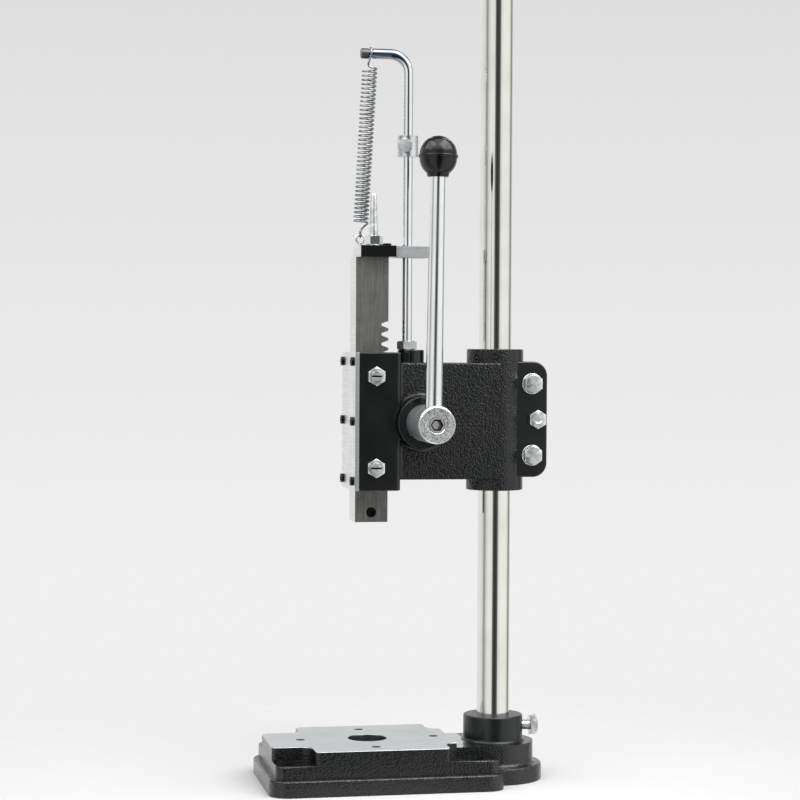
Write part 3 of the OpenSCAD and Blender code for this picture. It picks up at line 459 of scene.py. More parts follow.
def makeBase():
    bm = nodeCopy("base")
    s = baseLook

    def inside(c, kind):
        return any(around(c, *p) < s["reach"][kind] for p in s["holes"][kind])

    def inHole(c):
        return any(inside(c, kind) for kind in s["holes"])

    def bySocket(c):
        return around(c, *places["column"]) < s["socketReach"]

    edges = [
        # width, clamped, outward edges only, which edges
        (s["footFillet"], False, False, lambda c: near(c.z, s["lip"] / 2) and near(c.x, s["footCorner"], gap=2)),
        (s["lipEdge"], False, True, lambda c: near(c.z, s["lip"])),
        (s["wallEdge"], False, True, lambda c: near(c.z, s["wall"]) and not inHole(c)),
        (s["topEdge"], False, False, lambda c: near(c.z, s["top"]) and not inHole(c) and not bySocket(c)),
        (s["socketEdge"], True, True, lambda c: near(c.z, s["socket"]) and not inside(c, "column")),
        (s["boreEdge"], False, True, lambda c: near(c.z, s["top"]) and inside(c, "bore")),
        (s["tapEdge"], False, True, lambda c: near(c.z, s["top"]) and inside(c, "taps")),
        (s["tapEdge"], True, True, lambda c: near(c.z, s["socket"]) and inside(c, "column")),
    ]
    for width, clamp, outward, chosen in edges:
        roundEdges(bm, width, 4, chosen, clamp, outward)

    neck = [f for f in bm.faces if near(f.calc_center_median().z, s["shoulder"]) and f.normal.z > facing]
    neckEdges = list({e for f in neck for e in f.edges})
    neckPoints = list({v for e in neckEdges for v in e.verts})
    bmesh.ops.bisect_plane(bm, geom=neck + neckEdges + neckPoints, plane_co=(s["groundEnd"], 0, 0), plane_no=(1, 0, 0))
    for radius, level, fillet in s["rings"]:
        addShape(bm, lambda b: hollowRing(b, radius, fillet), aim((*places["column"], level), (0, 0, 1)))

    def pick(c, n):
        tapWall = inside(c, "taps") and c.z < s["top"] - 0.1
        boredWall = (inside(c, "bore") or inside(c, "column")) and abs(n.z) < across
        if tapWall or boredWall or n.z < -facing and c.z < 1:
            return 2
        table = c.z > s["top"] - s["topEdge"] - 0.1 and not bySocket(c)
        if table or near(c.z, s["shoulder"]) and n.z > facing and c.x < s["groundEnd"]:
            return 1
        return 3 if c.z > s["shoulder"] + 0.1 and bySocket(c) else 0

    colourFaces(bm, pick)
    finishPiece(bm, "base_casting", "base", "base", ("wetWrinkle", "table", "bored", "socket"))


# Head casting: satin guide block and ears, wrinkled web and clamp, glossy rod pad and bosses
headLook = {
    # round bosses of the pinion shaft; the cuts keep the upright edges even as far as the bosses
    "boss": 25.5, "bossEnds": (-45.0, 40.0), "bossEdge": 1.5, "bossCuts": (325, 378),
    # clamp ring and its ears
    "ringEnds": (284.5, 422.5), "ringInside": 27.0, "ringEdge": 1.0,
    "earStart": 148.0, "earFace": 21.0, "earBore": 6.6, "earEdge": 1.5, "earPaint": (140.0, 22.6),
    # guide block: its back, half width and ends, and the X and Y past which its end edges are rounded
    "back": 24.8, "half": 38.0, "blockEnds": (286.0, 419.0), "blockRim": (22.0, 34.0), "blockPaint": 26.0,
    "blockEdge": 1.5, "uprightEdge": 4.0,
    # web between them, and the rod's pad on it
    "web": 27.9, "webEnds": (296.0, 409.0), "webRun": (25.5, 100.0), "webEdge": 2.4, "fillet": 4.0, "filletInset": 2.0,
    "pad": (41.4, 0), "padRadius": 13.0, "padRim": 420.0, "padReach": 14.5, "padEdge": 1.2,
    # bare metal inside: column bore, bush seats, ram channel and gear pocket
    "columnReach": 16.6, "bushReach": 13.4, "bushStart": 15.0, "channel": (16.3, 21.5),
    "pocketRun": (15.0, 90.0), "pocketHalf": 15.9, "pocketTop": 408.9,
}


def filletBar(bm, side):
    # hollow corner between the block's back and the web
    s = headLook
    low, high = s["webEnds"][0] + s["filletInset"], s["webEnds"][1] - s["filletInset"]
    outline = [(-sunk, -sunk), (s["fillet"], -sunk)] + hollowCurve(s["fillet"]) + [(-sunk, s["fillet"])]
    bar = bm.faces.new([bm.verts.new((s["back"] + u, side * (s["web"] + v), low)) for u, v in outline])
    lifted = bmesh.ops.extrude_face_region(bm, geom=[bar])["geom"]
    bmesh.ops.translate(bm, vec=(0, 0, high - low), verts=[g for g in lifted if isinstance(g, bmesh.types.BMVert)])


def makeHead():
    bm = nodeCopy("head")
    s = headLook
    axis = places["lever"]
    earBores = (*places["clampBolts"], places["middleBolt"])
    for z in s["bossCuts"]:
        bmesh.ops.bisect_plane(bm, geom=bm.verts[:] + bm.edges[:] + bm.faces[:], plane_co=(0, 0, z), plane_no=(0, 0, 1))

    def onEar(c):
        return (c.x > s["earStart"] and abs(c.y) > s["earFace"]
                and not any(aroundY(c, *p) < s["earBore"] for p in earBores))

    def onUpright(c):
        return near(c.x, s["back"]) and near(abs(c.y), s["half"]) and not near(c.z, *s["blockEnds"])

    def onBlockEnd(c):
        return near(c.z, *s["blockEnds"]) and (c.x > s["blockRim"][0] or abs(c.y) > s["blockRim"][1])

    def onWeb(c):
        return s["webRun"][0] < c.x < s["webRun"][1] and near(abs(c.y), s["web"]) and near(c.z, *s["webEnds"])

    def pastRing(c):
        return around(c, *places["column"]) > s["ringInside"]

    edges = [
        # width, clamped, which edges
        (s["bossEdge"], True, lambda c: near(aroundY(c, *axis), s["boss"]) and near(c.y, *s["bossEnds"])),
        (s["uprightEdge"], False, onUpright),
        (s["blockEdge"], False, onBlockEnd),
        (s["ringEdge"], True, lambda c: near(c.z, *s["ringEnds"]) and pastRing(c)),
        (s["padEdge"], True, lambda c: near(around(c, *s["pad"]), s["padRadius"]) and c.z > s["padRim"]),
        (s["earEdge"], True, onEar),
        (s["webEdge"], False, onWeb),
    ]
    for width, clamp, chosen in edges:
        roundEdges(bm, width, 4, chosen, clamp)
    for side in (-1, 1):
        addShape(bm, lambda b: filletBar(b, side), Matrix())
        addShape(bm, lambda b: hollowRing(b, s["boss"], s["fillet"]),
                 aim((axis[0], side * s["web"], axis[1]), (0, side, 0)))

    def bare(c, n, y):
        if aroundY(c, *axis) < s["bushReach"] and y > s["bushStart"] and abs(n.y) < across:
            return True
        bore = around(c, *places["column"]) < s["columnReach"]
        channel = c.x < s["channel"][0] and y < s["channel"][1]
        pocket = s["pocketRun"][0] < c.x < s["pocketRun"][1] and y < s["pocketHalf"] and c.z < s["pocketTop"]
        return (bore or channel or pocket) and abs(n.z) < across

    def pick(c, n):
        y = abs(c.y)
        if bare(c, n, y):
            return 3
        offWeb = y > s["web"] + 0.05
        inFillet = s["back"] < c.x < s["back"] + s["fillet"] and y < s["web"] + s["fillet"]
        if offWeb and (inFillet or aroundY(c, *axis) < s["boss"] + s["fillet"]):
            return 2
        if c.x < s["blockPaint"] or c.x > s["earPaint"][0] and y < s["earPaint"][1] and pastRing(c):
            return 1
        return 2 if c.z > s["webEnds"][1] + 0.4 and around(c, *s["pad"]) < s["padReach"] else 0

    colourFaces(bm, pick)
    finishPiece(bm, "head_casting", "head", "head", ("wrinkle", "satin", "gloss", "bored"))


makeBase()
makeHead()
print("castings made")

# Chromed bars
columnSizes = {"radius": 16.0, "low": 10.0, "high": 800.0, "chamfer": 1.5}
leverSizes = {"low": 7.0, "root": 6.75, "seat": 13.0, "wide": 8.25, "thin": 7.0, "end": 247.0, "chamfer": 0.6,
              "side": -88, "lean": 0.7}
rodSizes = {"radius": 5.0, "low": 407.5, "bend": 18.0, "bendSteps": 20, "end": -9.5, "chamfer": 0.8, "groove": 4.2,
            "grooveHalf": 2.0, "slope": 0.4}


def makeColumn():
    s = columnSizes
    bm = bmesh.new()
    narrow = s["radius"] - s["chamfer"]
    latheProfile(bm, [(0, s["low"]), (narrow, s["low"]), (s["radius"], s["low"] + s["chamfer"]),
                      (s["radius"], s["high"] - s["chamfer"]), (narrow, s["high"]), (0, s["high"])], 96)
    bmesh.ops.translate(bm, vec=(*places["column"], 0), verts=bm.verts[:])
    finishPiece(bm, "column_bar", "column", "column", "column")


def leverAim():
    lean = math.radians(leverSizes["lean"])
    x, z = places["lever"]
    return aim((x, leverSizes["side"], z), (math.sin(lean), 0, math.cos(lean)))


def makeLever():
    s = leverSizes
    bm = bmesh.new()
    latheProfile(bm, [(0, s["low"]), (s["root"], s["low"]), (s["root"], s["seat"]),
                      (s["wide"] - s["chamfer"], s["seat"]), (s["wide"], s["seat"] + s["chamfer"]),
                      (s["thin"], s["end"]), (0, s["end"])], 64)
    bmesh.ops.transform(bm, matrix=leverAim(), verts=bm.verts[:])
    finishPiece(bm, "lever_bar", "lever", "lever", "handle")


def makeRod():
    s = rodSizes
    bm = bmesh.new()
    ring = bmesh.ops.create_circle(bm, cap_ends=True, segments=48, radius=s["radius"])["verts"]
    bmesh.ops.translate(bm, vec=(places["rod"], 0, s["low"]), verts=ring)

    def grow(edges, shift, radius=None):
        points, edges = growEdges(bm, edges)
        bmesh.ops.translate(bm, vec=shift, verts=points)
        if radius:
            middle = sum((v.co for v in points), Vector()) / len(points)
            for v in points:
                v.co = middle + (v.co - middle).normalized() * radius
        return edges

    straight = places["springArm"] - s["bend"]
    bendEnd = places["rod"] - s["bend"]
    edges = grow(bm.edges[:], (0, 0, straight - s["low"]))
    turned = bmesh.ops.spin(bm, geom=edges, cent=(bendEnd, 0, straight), axis=(0, -1, 0), dvec=(0, 0, 0),
                            angle=math.radians(90), steps=s["bendSteps"], use_merge=False, use_normal_flip=False,
                            use_duplicate=False)
    edges = [g for g in turned["geom_last"] if isinstance(g, bmesh.types.BMEdge)]
    # along the arm: to the spring's groove, through it, and on to the chamfered end
    edges = grow(edges, (s["grooveHalf"] - bendEnd, 0, 0))
    edges = grow(edges, (-s["slope"], 0, 0), s["groove"])
    edges = grow(edges, (-2 * (s["grooveHalf"] - s["slope"]), 0, 0))
    edges = grow(edges, (-s["slope"], 0, 0), s["radius"])
    edges = grow(edges, (s["end"] + s["grooveHalf"] + s["chamfer"], 0, 0))
    edges = grow(edges, (-s["chamfer"], 0, 0), s["radius"] - s["chamfer"])
    bmesh.ops.contextual_create(bm, geom=edges)
    bmesh.ops.recalc_face_normals(bm, faces=bm.faces[:])
    # the rod's end past the groove is drawn in a dark steel, darker than the chrome
    colourFaces(bm, lambda c, n: c.x < -s["grooveHalf"])
    finishPiece(bm, "guide_rod_bar", "head", "guide_rod", ("rod", "darkEnd"))


makeColumn()
makeLever()
makeRod()
print("chromed bars made")

# Knob with its moulding seam and neck
knobSizes = {"radius": 17.65, "rise": 1.7, "at": 251.5, "neck": 10.0, "neckLow": -19.35, "bore": 7.3, "boreEnd": -4.3,
             "seam": 18.75, "seamHalf": 1.5, "edge": 0.5, "flank": 0.4, "step": 0.1, "lowSteps": 18, "highSteps": 24}


def makeKnob():
    s = knobSizes
    bm = bmesh.new()
    profile = [(0, s["boreEnd"]), (s["bore"], s["boreEnd"]), (s["bore"], s["neckLow"]),
               (s["neck"] - s["edge"], s["neckLow"]), (s["neck"], s["neckLow"] + s["edge"])]
    first = math.asin(s["neck"] / s["radius"])
    for i in range(1, s["lowSteps"] + 1):
        turn = first + (math.pi / 2 - first) * i / s["lowSteps"]
        profile.append((s["radius"] * math.sin(turn), -s["rise"] - s["radius"] * math.cos(turn)))
    seam = [(s["radius"], s["seamHalf"] + s["step"]), (s["seam"] - s["flank"], s["seamHalf"]),
            (s["seam"], s["seamHalf"] - s["edge"])]
    profile += [(r, -h) for r, h in seam] + seam[::-1]
    for i in range(1, s["highSteps"] + 1):
        turn = math.pi / 2 * (1 - i / s["highSteps"])
        profile.append((s["radius"] * math.sin(turn), s["rise"] + s["radius"] * math.cos(turn)))
    latheProfile(bm, profile, 80)
    bmesh.ops.translate(bm, vec=(0, 0, s["at"]), verts=bm.verts[:])
    bmesh.ops.transform(bm, matrix=leverAim(), verts=bm.verts[:])
    finishPiece(bm, "ball_knob", "lever", "knob", "knob")


makeKnob()
print("knob made")

# Machined blocks and plates: CAD copies with their edges broken
plates = [
    # node, piece, body, slot, look, width of the broken edges, or none where hubChamfers gives them
    ("front_cover", "cover_plate", "head", "cover_plate", "cover", 0.6),
    ("cover_screws", "cover_cap_screws", "head", "black_screw", "oxide", 0.35),
    ("gib_strip", "gib_bar", "head", "gib_iron", "bored", 0.4),
    ("gib_screws", "gib_set_screws", "head", "zinc_fastener", ("zinc", "oxide"), 0.3),
    ("ram", "ram_bar", "ram", "ram_steel", ("ram", "cover"), 0.5),
    ("tool_screw", "tool_set_screw", "ram", "black_screw", "oxide", 0.25),
    ("pinion", "pinion_gear", "lever", "gear_steel", "gear", 0.25),
    ("pinion_shaft", "pinion_spindle", "lever", "gear_steel", "gear", 0.4),
    ("pinion_key", "pinion_feather", "lever", "gear_steel", "gear", 0.3),
    ("shaft_bushes", "bronze_bushes", "head", "bush_bronze", "bronze", 0.4),
    ("shaft_collar", "end_collar", "lever", "turned_steel", "barrel", 0.8),
    ("collar_grub", "end_collar_grub", "lever", "black_screw", "oxide", 0.25),
    ("hub", "lever_hub", "lever", "turned_steel", ("barrel", "hub", "rim"), None),
    ("hub_pin", "hub_cross_pin", "lever", "gear_steel", "gear", 0.4),
    ("hub_screw", "hub_cap_screw", "lever", "black_screw", ("oxide", "rim"), None),
    ("stop_collar", "stop_ring", "stop", "bright_steel", "collar", 0.7),
    ("ram_cap", "cap_plate", "ram", "cap_paint", ("cap", "cover"), 0.8),
    ("guide_arm", "rod_arm", "ram", "bright_steel", "arm", 0.8),
    ("arm_screws", "arm_cap_screws", "ram", "black_screw", "oxide", 0.4),
    ("spring_eye", "eye_screw", "ram", "zinc_fastener", "zinc", 0.2),
]
# chamfers on the near ends of the hub and its screw: end, then radius and width of each
hubChamfers = {"hub": (-105.0, ((17.7, 1.3), (7.6, 0.7))), "hub_screw": (-104.6, ((4.0, 1.3), (7.5, 0.5)))}
# how far a hub face leans towards its barrel or its end, the screw's bright face and rim, and the gib screws' slots,
# whose faces are drawn in black oxide as painted shade
hubTurn = {"barrel": 0.15, "end": 0.98, "screwFace": -0.8, "screwRim": 6.0}
gibSlot = {"depth": (-45.2, -43.4), "half": 1.0}


def hubLook(c, n):
    if abs(n.y) < hubTurn["barrel"]:
        return 0
    # faces between the barrel and the end are the chamfers: they take the rim look, a painted highlight
    return 1 if abs(n.y) > hubTurn["end"] else 2


# which of its looks a face takes
faceLooks = {
    # painted light: the front faces of the ram and its cap take the bright ground-plate look, lighter than the bar's
    # sides and the cap's black enamel
    "ram": lambda c, n: n.x < -facing,
    "ram_cap": lambda c, n: n.x < -facing,
    "hub": hubLook,
    # the hub screw's face and outer ring take the bright rim look; its socket walls take black oxide, painted shade for
    # the dark ring inside the socket
    "hub_screw": lambda c, n: n.y < hubTurn["screwFace"] or aroundY(c, *places["lever"]) > hubTurn["screwRim"],
    # painted shade: the faces inside the zinc gib screws' slots take black oxide
    "gib_screws": lambda c, n: (gibSlot["depth"][0] < c.y < gibSlot["depth"][1]
                                and near(c.z, *places["gibScrews"], gap=gibSlot["half"])),
}


def makePlates():
    for node, name, body, slotName, look, edge in plates:
        bm = nodeCopy(node)
        if edge:
            roundEdges(bm, edge, 3 if edge > 0.5 else 2)
        else:
            end, chamfers = hubChamfers[node]
            for radius, width in chamfers:
                roundEdges(bm, width, 1, lambda c: near(c.y, end) and near(aroundY(c, *places["lever"]), radius), False)
        if node in faceLooks:
            colourFaces(bm, faceLooks[node])
        finishPiece(bm, name, body, node, look)


makePlates()
print("machined pieces made:", len(plates))

# Hexagon bolts, nuts and washers
upward, leverSide, farSide = (0, 0, 1), (0, -1, 0), (0, 1, 0)
m10 = {"flats": 17.0, "head": 6.8, "shank": 4.9, "nut": 8.2, "nutBore": 4.7, "washer": (10.15, 5.25, 2.0)}
clampSizes = {"ear": 22, "length": 58.0}
# the middle bolt's head has a dimple, drawn as a disc in a bored head
middleSizes = {"ear": 22, "flats": 16.0, "head": 6.8, "bore": 3.5, "thread": (-23.8, 4.2),
               "dimple": ((0, 5.4), (2.6, 5.5), (3.5, 6.2), (3.6, 5.0), (0, 4.0))}
setBoltSizes = {"place": (163.2, 0, 50.7), "length": 20.8}
gibNutSizes = {"side": -38, "flats": 16.0, "thick": 6.0, "bore": 5.0}
rodNutSizes = {"low": 421.5, "flats": 17.0, "thick": 8.6, "bore": 5.0}
stopBoltSizes = {"turn": -22, "reach": 11.2, "flats": 13.0, "head": 5.3, "shank": 3.95, "length": 5.8, "pitch": 1.25}
# the stud's cone has fine turned ridges, from the nut to the rounded tip
studSizes = {"radius": 4.5, "thread": (489.0, 532.6), "pitch": 1.25, "cone": 531.0, "ridges": 41, "ridge": 1.0,
             "ridgeDepth": 0.06, "narrows": 1.75, "tip": [(2.6, 572.4), (2.1, 573.0), (0, 573.0)],
             "nut": 523.6, "nutFlats": 16.0, "nutThick": 8.4, "washer": (8.5, 4.75, 1.6), "washerLow": 522}


def addWasher(bm, place, radius, bore, thick):
    low, high = 0.3, 0.4  # broken edges below and above
    profile = [(bore, 0), (radius - low, 0), (radius, low), (radius, thick - high), (radius - high, thick),
               (bore + low, thick), (bore, thick - low), (bore, 0)]
    addShape(bm, lambda b: latheProfile(b, profile, 48), place)


def addBolt(bm, place, flats, head, shank, length, pitch=1.5):
    addShape(bm, lambda b: hexBody(b, flats, head), place)
    addShape(bm, lambda b: threadRod(b, shank, -length, 0.0, pitch), place)


def finishFastener(bm, name, body, node, look="zinc"):
    finishPiece(bm, name, body, node, look)


def makeClampBolts():
    bolts, washers, nuts = bmesh.new(), bmesh.new(), bmesh.new()
    ear = clampSizes["ear"]
    outside = ear + m10["washer"][2]
    for x, z in places["clampBolts"]:
        addBolt(bolts, aim((x, -outside, z), leverSide, upward), m10["flats"], m10["head"], m10["shank"],
                clampSizes["length"])
        for y, way in ((-ear, leverSide), (ear, farSide)):
            addWasher(washers, aim((x, y, z), way, upward), *m10["washer"])
        addShape(nuts, lambda b: hexBody(b, m10["flats"], m10["nut"], m10["nutBore"], True),
                 aim((x, outside, z), farSide, upward))
    finishFastener(bolts, "clamp_hex_bolts", "head", "clamp_bolts")
    finishFastener(washers, "clamp_flat_washers", "head", "clamp_washers")
    finishFastener(nuts, "clamp_hex_nuts", "head", "clamp_nuts")


def makeMiddleBolt():
    s = middleSizes
    bm = bmesh.new()
    x, z = places["middleBolt"]
    place = aim((x, -s["ear"], z), leverSide, upward)
    addShape(bm, lambda b: hexBody(b, s["flats"], s["head"], s["bore"]), place)
    addShape(bm, lambda b: latheProfile(b, s["dimple"], 36), place)
    addShape(bm, lambda b: threadRod(b, m10["shank"], *s["thread"]), place)
    finishFastener(bm, "middle_hex_bolt", "head", "middle_bolt")


def makeSetBolt():
    bm = bmesh.new()
    addBolt(bm, aim(setBoltSizes["place"], (1, 0, 0), upward), m10["flats"], m10["head"], m10["shank"],
            setBoltSizes["length"])
    finishFastener(bm, "column_hex_bolt", "base", "column_set_bolt")


def makeLockNuts():
    gib, rod = bmesh.new(), bmesh.new()
    s = gibNutSizes
    for z in places["gibScrews"]:
        addShape(gib, lambda b: hexBody(b, s["flats"], s["thick"], s["bore"]),
                 aim((0, s["side"], z), leverSide, upward))
    finishFastener(gib, "gib_lock_nuts", "head", "gib_nuts")
    s = rodNutSizes
    addShape(rod, lambda b: hexBody(b, s["flats"], s["thick"], s["bore"], True),
             aim((places["rod"], 0, s["low"]), upward))
    finishFastener(rod, "rod_lock_nut", "head", "rod_nut")


def makeStopBolt():
    s = stopBoltSizes
    bm = bmesh.new()
    turn = math.radians(s["turn"])
    way = Vector((math.sin(turn), -math.cos(turn), 0))
    place = aim(Vector(stopCentre) + s["reach"] * way, way, upward)
    addBolt(bm, place, s["flats"], s["head"], s["shank"], s["length"], s["pitch"])
    finishFastener(bm, "stop_hex_bolt", "stop", "collar_bolt", "arm")


def makeCapStud():
    s = studSizes
    stud, nut, washer = bmesh.new(), bmesh.new(), bmesh.new()
    cone = [(0, s["cone"])]
    for i in range(s["ridges"]):
        radius, height = s["radius"] - s["narrows"] * i / s["ridges"], s["cone"] + s["ridge"] * i
        cone += [(radius, height), (radius - s["ridgeDepth"], height + s["ridge"] / 2)]
    place = aim((*places["stud"], 0), upward)
    addShape(stud, lambda b: threadRod(b, s["radius"], *s["thread"], s["pitch"]), place)
    addShape(stud, lambda b: latheProfile(b, cone + s["tip"], 40), place)
    finishFastener(stud, "cap_threaded_stud", "ram", "cap_stud")
    addShape(nut, lambda b: hexBody(b, s["nutFlats"], s["nutThick"], s["radius"], True),
             aim((*places["stud"], s["nut"]), upward))
    finishFastener(nut, "cap_hex_nut", "ram", "cap_nut", "chrome")
    addWasher(washer, aim((*places["stud"], s["washerLow"]), upward), *s["washer"])
    finishFastener(washer, "cap_flat_washer", "ram", "cap_washer", "chrome")


makeClampBolts()
makeMiddleBolt()
makeSetBolt()
makeLockNuts()
makeStopBolt()
makeCapStud()
print("fasteners made")

# Return spring: hooks, coils and the drop to the eye, as the CAD winds it
springSizes = {"wire": 2.0, "coilRadius": 6.75, "coils": 36.25, "steps": 24, "coilTop": 694.6, "coilLow": 545.0,
               "eye": (-7.5, 11, 533.5), "hook": 5.45, "catch": 2.45,
               # degrees that each hook runs past its half turn, and where the first coil starts
               "past": 40, "start": -90,
               # how the wire is drawn from the hook into the coil, and from the coil into the catch
               "leadPull": ((0, 0, -5), (-6, 0, 1.2)), "dropPull": ((0, 4, -2), (-1.5, -0.8, 6)),
               "hookSteps": 20, "leadSteps": 10, "dropSteps": 12, "catchSteps": 16}


def makeSpring():
    s = springSizes
    top, low = Vector((0, 0, places["springArm"])), Vector(s["eye"])

    def turnAt(z, degrees):
        middle = top + (top.z - z) / (top.z - low.z) * (low - top)
        a = math.radians(degrees)
        return Vector((middle.x + s["coilRadius"] * math.cos(a), middle.y + s["coilRadius"] * math.sin(a), z))

    def ease(a, d, pull, count):
        b, c = a + Vector(pull[0]), d + Vector(pull[1])
        return [a * (1 - t) ** 3 + 3 * b * t * (1 - t) ** 2 + 3 * c * t * t * (1 - t) + d * t ** 3
                for t in [i / (count + 1) for i in range(1, count + 1)]]

    def arc(middle, radius, first, count):
        turns = [math.radians(first + (180 + s["past"]) * i / count) for i in range(count + 1)]
        return [middle + Vector((0, radius * math.cos(a), radius * math.sin(a))) for a in turns]

    past = math.radians(s["past"])
    hook = arc(top, s["hook"], -s["past"], s["hookSteps"])
    tail = [hook[0] + Vector((0, -math.sin(past), -math.cos(past))) * s["wire"]]
    lead = ease(hook[-1], turnAt(s["coilTop"], s["start"]), s["leadPull"], s["leadSteps"])
    count = int(s["coils"] * s["steps"])
    fall = (s["coilTop"] - s["coilLow"]) / count
    coil = [turnAt(s["coilTop"] - fall * i, s["start"] + 360 * i / s["steps"]) for i in range(count + 1)]
    catch = arc(low, s["catch"], 180, s["catchSteps"])
    drop = ease(coil[-1], catch[0], s["dropPull"], s["dropSteps"])
    end = [catch[-1] + Vector((0, -math.sin(past), math.cos(past))) * s["wire"]]
    path = tail + hook + lead + coil + drop + catch + end
    curve = bpy.data.curves.new("spring_path", "CURVE")
    curve.dimensions = "3D"
    curve.bevel_depth = mm(s["wire"] / 2)
    curve.bevel_resolution = 2
    curve.use_fill_caps = True
    spline = curve.splines.new("POLY")
    spline.points.add(len(path) - 1)
    for point, place in zip(spline.points, path):
        point.co = (*mm(*place), 1)
    guide = bpy.data.objects.new("spring_guide", curve)
    bpy.context.scene.collection.objects.link(guide)
    bpy.context.view_layer.update()
    wound = guide.evaluated_get(bpy.context.evaluated_depsgraph_get())
    bm = bmesh.new()
    bm.from_mesh(wound.to_mesh())
    bmesh.ops.scale(bm, vec=(1000, 1000, 1000), verts=bm.verts[:])
    wound.to_mesh_clear()
    bpy.data.objects.remove(guide)
    spring = finishPiece(bm, "wound_spring", None, "return_spring", "spring", 50, False)
    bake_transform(spring)


makeSpring()
print("spring wound")

# Floor, light and camera, in metres
stageLook = {"floor": "#d2d2d2", "rough": 0.9, "shine": 0.1, "radius": 2.2, "fade": (0.22, 0.62), "covered": (0.1, 0.2)}
# brightness round the press, by degrees from the camera's side to the right: boxes, gaps and the dark room
# behind the camera
studioBands = [(-180, 0.85), (-120, 0.9), (-92, 0.8), (-74, 0.28), (-58, 0.75), (-40, 0.95), (-16, 0.9), (-8, 0.1),
               (6, 0.03), (22, 0.1), (31, 0.85), (48, 1.0), (92, 1.0), (106, 0.8), (122, 0.2), (138, 0.6), (155, 0.85),
               (180, 0.85)]
# by the height of a ray: the grey that the camera sees, the least light above the gaps, and the dimmer ceiling
skyLook = {"horizon": (-0.1, 0.16), "grey": (0.868, 0.735), "lift": (0.16, 0.27), "liftTo": 0.5,
           "ceiling": (0.28, 0.62), "ceilingTo": 0.16}
cameraAim = {"place": (-380.469, -2109.106, 425.874), "yaw": 11.037, "pitch": 1.426, "roll": 0.304, "lens": 99.012}
lampTarget = (0.05, 0, 0.38)
lampLook = {
    # name: turn from the camera's side, height, distance, size, watts
    "right_box": (69, 2.3, 1.5, (2.6, 2.0), 62),
    "left_box": (-70, 2.2, 1.5, (2.2, 1.7), 33),
    "top_box": (10, 2.1, 0.7, (2.2, 2.2), 31),
}


def cameraAxes():
    yaw, pitch, roll = (math.radians(cameraAim[k]) for k in ("yaw", "pitch", "roll"))
    ahead = Vector((math.sin(yaw) * math.cos(pitch), math.cos(yaw) * math.cos(pitch), -math.sin(pitch)))
    right = Vector((math.cos(yaw), -math.sin(yaw), 0))
    up = right.cross(ahead)
    return math.cos(roll) * right + math.sin(roll) * up, math.cos(roll) * up - math.sin(roll) * right, ahead


def makeStage():
    s = stageLook
    bm = bmesh.new()
    bmesh.ops.create_circle(bm, cap_ends=True, segments=96, radius=s["radius"])
    mesh = bpy.data.meshes.new("floor")
    bm.to_mesh(mesh)
    bm.free()
    floor = bpy.data.objects.new("floor", mesh)
    bpy.context.scene.collection.objects.link(floor)
    material, tree, where = newMaterial("studio_floor")
    shader = addNode(tree, "ShaderNodeBsdfPrincipled", {"Base Color": paint(s["floor"]), "Roughness": s["rough"],
                     "Specular IOR Level": s["shine"]})
    away = addNode(tree, "ShaderNodeVectorMath", links={0: where}, operation="LENGTH")
    fade = addNode(tree, "ShaderNodeMapRange", {"From Min": s["fade"][0], "From Max": s["fade"][1]},
                   {"Value": away.outputs["Value"]}, interpolation_type="SMOOTHSTEP")
    # metal sees the studio past the base, not the floor
    glossy = addNode(tree, "ShaderNodeLightPath").outputs["Is Glossy Ray"]
    clearance = addNode(tree, "ShaderNodeMapRange", {"From Min": s["covered"][0], "From Max": s["covered"][1]},
                        {"Value": away.outputs["Value"]})
    past = addNode(tree, "ShaderNodeMath", links={0: glossy, 1: clearance.outputs["Result"]}, operation="MULTIPLY")
    hidden = addNode(tree, "ShaderNodeMath", links={0: fade.outputs["Result"], 1: past.outputs["Value"]},
                     operation="MAXIMUM")
    clear = addNode(tree, "ShaderNodeBsdfTransparent")
    mix = addNode(tree, "ShaderNodeMixShader", links={0: hidden.outputs["Value"], 1: shader.outputs["BSDF"],
                  2: clear.outputs["BSDF"]})
    addNode(tree, "ShaderNodeOutputMaterial", links={"Surface": mix.outputs["Shader"]})
    mesh.materials.append(material)


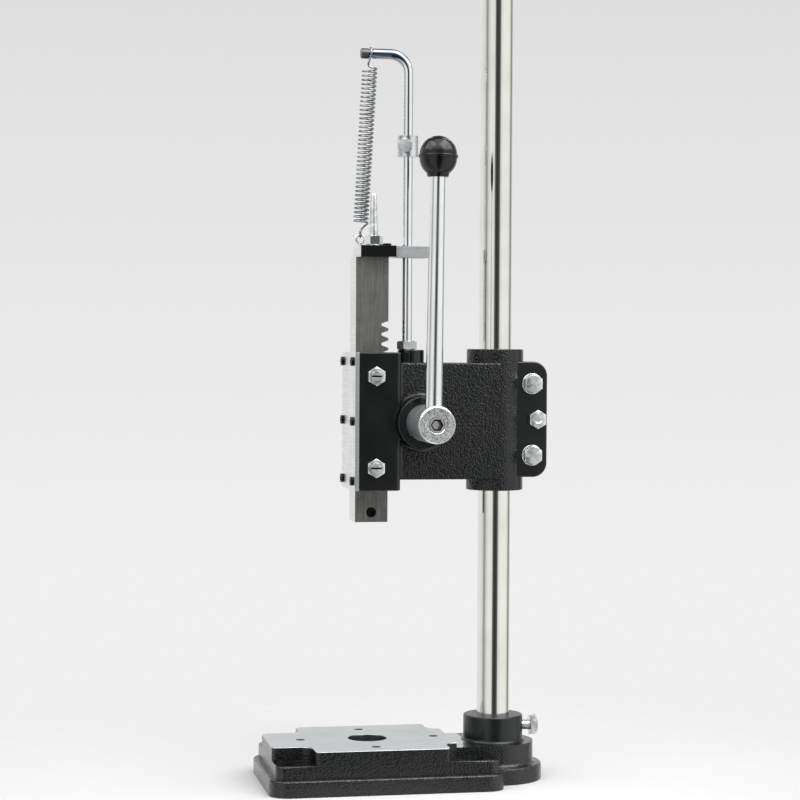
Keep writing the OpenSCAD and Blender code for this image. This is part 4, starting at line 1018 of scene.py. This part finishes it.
def makeWorld():
    # a white studio with a dark gap behind the camera, and the photo's pale grey for the camera itself
    s = skyLook
    world = bpy.data.worlds.new("studio")
    bpy.context.scene.world = world
    world.use_nodes = True
    tree = world.node_tree
    tree.nodes.clear()
    right, _, ahead = cameraAxes()
    where = addNode(tree, "ShaderNodeTexCoord").outputs["Generated"]
    side = addNode(tree, "ShaderNodeVectorMath", {1: right}, {0: where}, operation="DOT_PRODUCT")
    back = addNode(tree, "ShaderNodeVectorMath", {1: -ahead}, {0: where}, operation="DOT_PRODUCT")
    turn = addNode(tree, "ShaderNodeMath", links={0: side.outputs["Value"], 1: back.outputs["Value"]},
                   operation="ARCTAN2")
    part = addNode(tree, "ShaderNodeMapRange", {"From Min": -math.pi, "From Max": math.pi},
                   {"Value": turn.outputs["Value"]})
    bands = addNode(tree, "ShaderNodeValToRGB", links={"Fac": part.outputs["Result"]})
    setRamp(bands, [((angle + 180) / 360, value) for angle, value in studioBands])
    height = addNode(tree, "ShaderNodeSeparateXYZ", links={"Vector": where}).outputs["Z"]
    lift = addNode(tree, "ShaderNodeMapRange", {"From Min": s["lift"][0], "From Max": s["lift"][1],
                   "To Max": s["liftTo"]}, {"Value": height})
    lifted = addNode(tree, "ShaderNodeMath", links={0: bands.outputs["Color"], 1: lift.outputs["Result"]},
                     operation="MAXIMUM")
    ceiling = addNode(tree, "ShaderNodeMapRange", {"From Min": s["ceiling"][0], "From Max": s["ceiling"][1],
                      "To Min": 1.0, "To Max": s["ceilingTo"]}, {"Value": height}, interpolation_type="SMOOTHSTEP")
    studio = addNode(tree, "ShaderNodeBackground", links={"Color": lifted.outputs["Value"],
                     "Strength": ceiling.outputs["Result"]})
    sky = addNode(tree, "ShaderNodeMapRange", {"From Min": s["horizon"][0], "From Max": s["horizon"][1],
                  "To Min": s["grey"][0], "To Max": s["grey"][1]}, {"Value": height})
    plain = addNode(tree, "ShaderNodeBackground", links={"Color": sky.outputs["Result"]})
    seen = addNode(tree, "ShaderNodeLightPath").outputs["Is Camera Ray"]
    mix = addNode(tree, "ShaderNodeMixShader", links={0: seen, 1: studio.outputs["Background"],
                  2: plain.outputs["Background"]})
    addNode(tree, "ShaderNodeOutputWorld", links={"Surface": mix.outputs["Shader"]})


def makeLamps():
    right, _, ahead = cameraAxes()
    target = Vector(lampTarget)
    for name, (turn, height, away, size, watts) in lampLook.items():
        lamp = bpy.data.lights.new(name, "AREA")
        lamp.shape = "RECTANGLE"
        lamp.size, lamp.size_y = size
        lamp.energy = watts
        a = math.radians(turn)
        spot = bpy.data.objects.new(name, lamp)
        place = target + (-ahead * math.cos(a) + right * math.sin(a)) * away
        spot.location = (place.x, place.y, height)
        spot.rotation_euler = (target - spot.location).to_track_quat("-Z", "Y").to_euler()
        bpy.context.scene.collection.objects.link(spot)


def makeCamera():
    right, up, ahead = cameraAxes()
    data = bpy.data.cameras.new("photo_camera")
    data.sensor_width = 36
    data.sensor_fit = "HORIZONTAL"
    data.lens = cameraAim["lens"]
    data.clip_end = 50
    camera = bpy.data.objects.new("photo_camera", data)
    turn = Matrix((right, up, -ahead)).transposed().to_4x4()
    camera.matrix_world = Matrix.Translation(mm(*cameraAim["place"])) @ turn
    bpy.context.scene.collection.objects.link(camera)
    bpy.context.scene.camera = camera


makeStage()
makeWorld()
makeLamps()
makeCamera()
bpy.context.scene.view_settings.view_transform = "Standard"
print("stage, lamps and camera set")
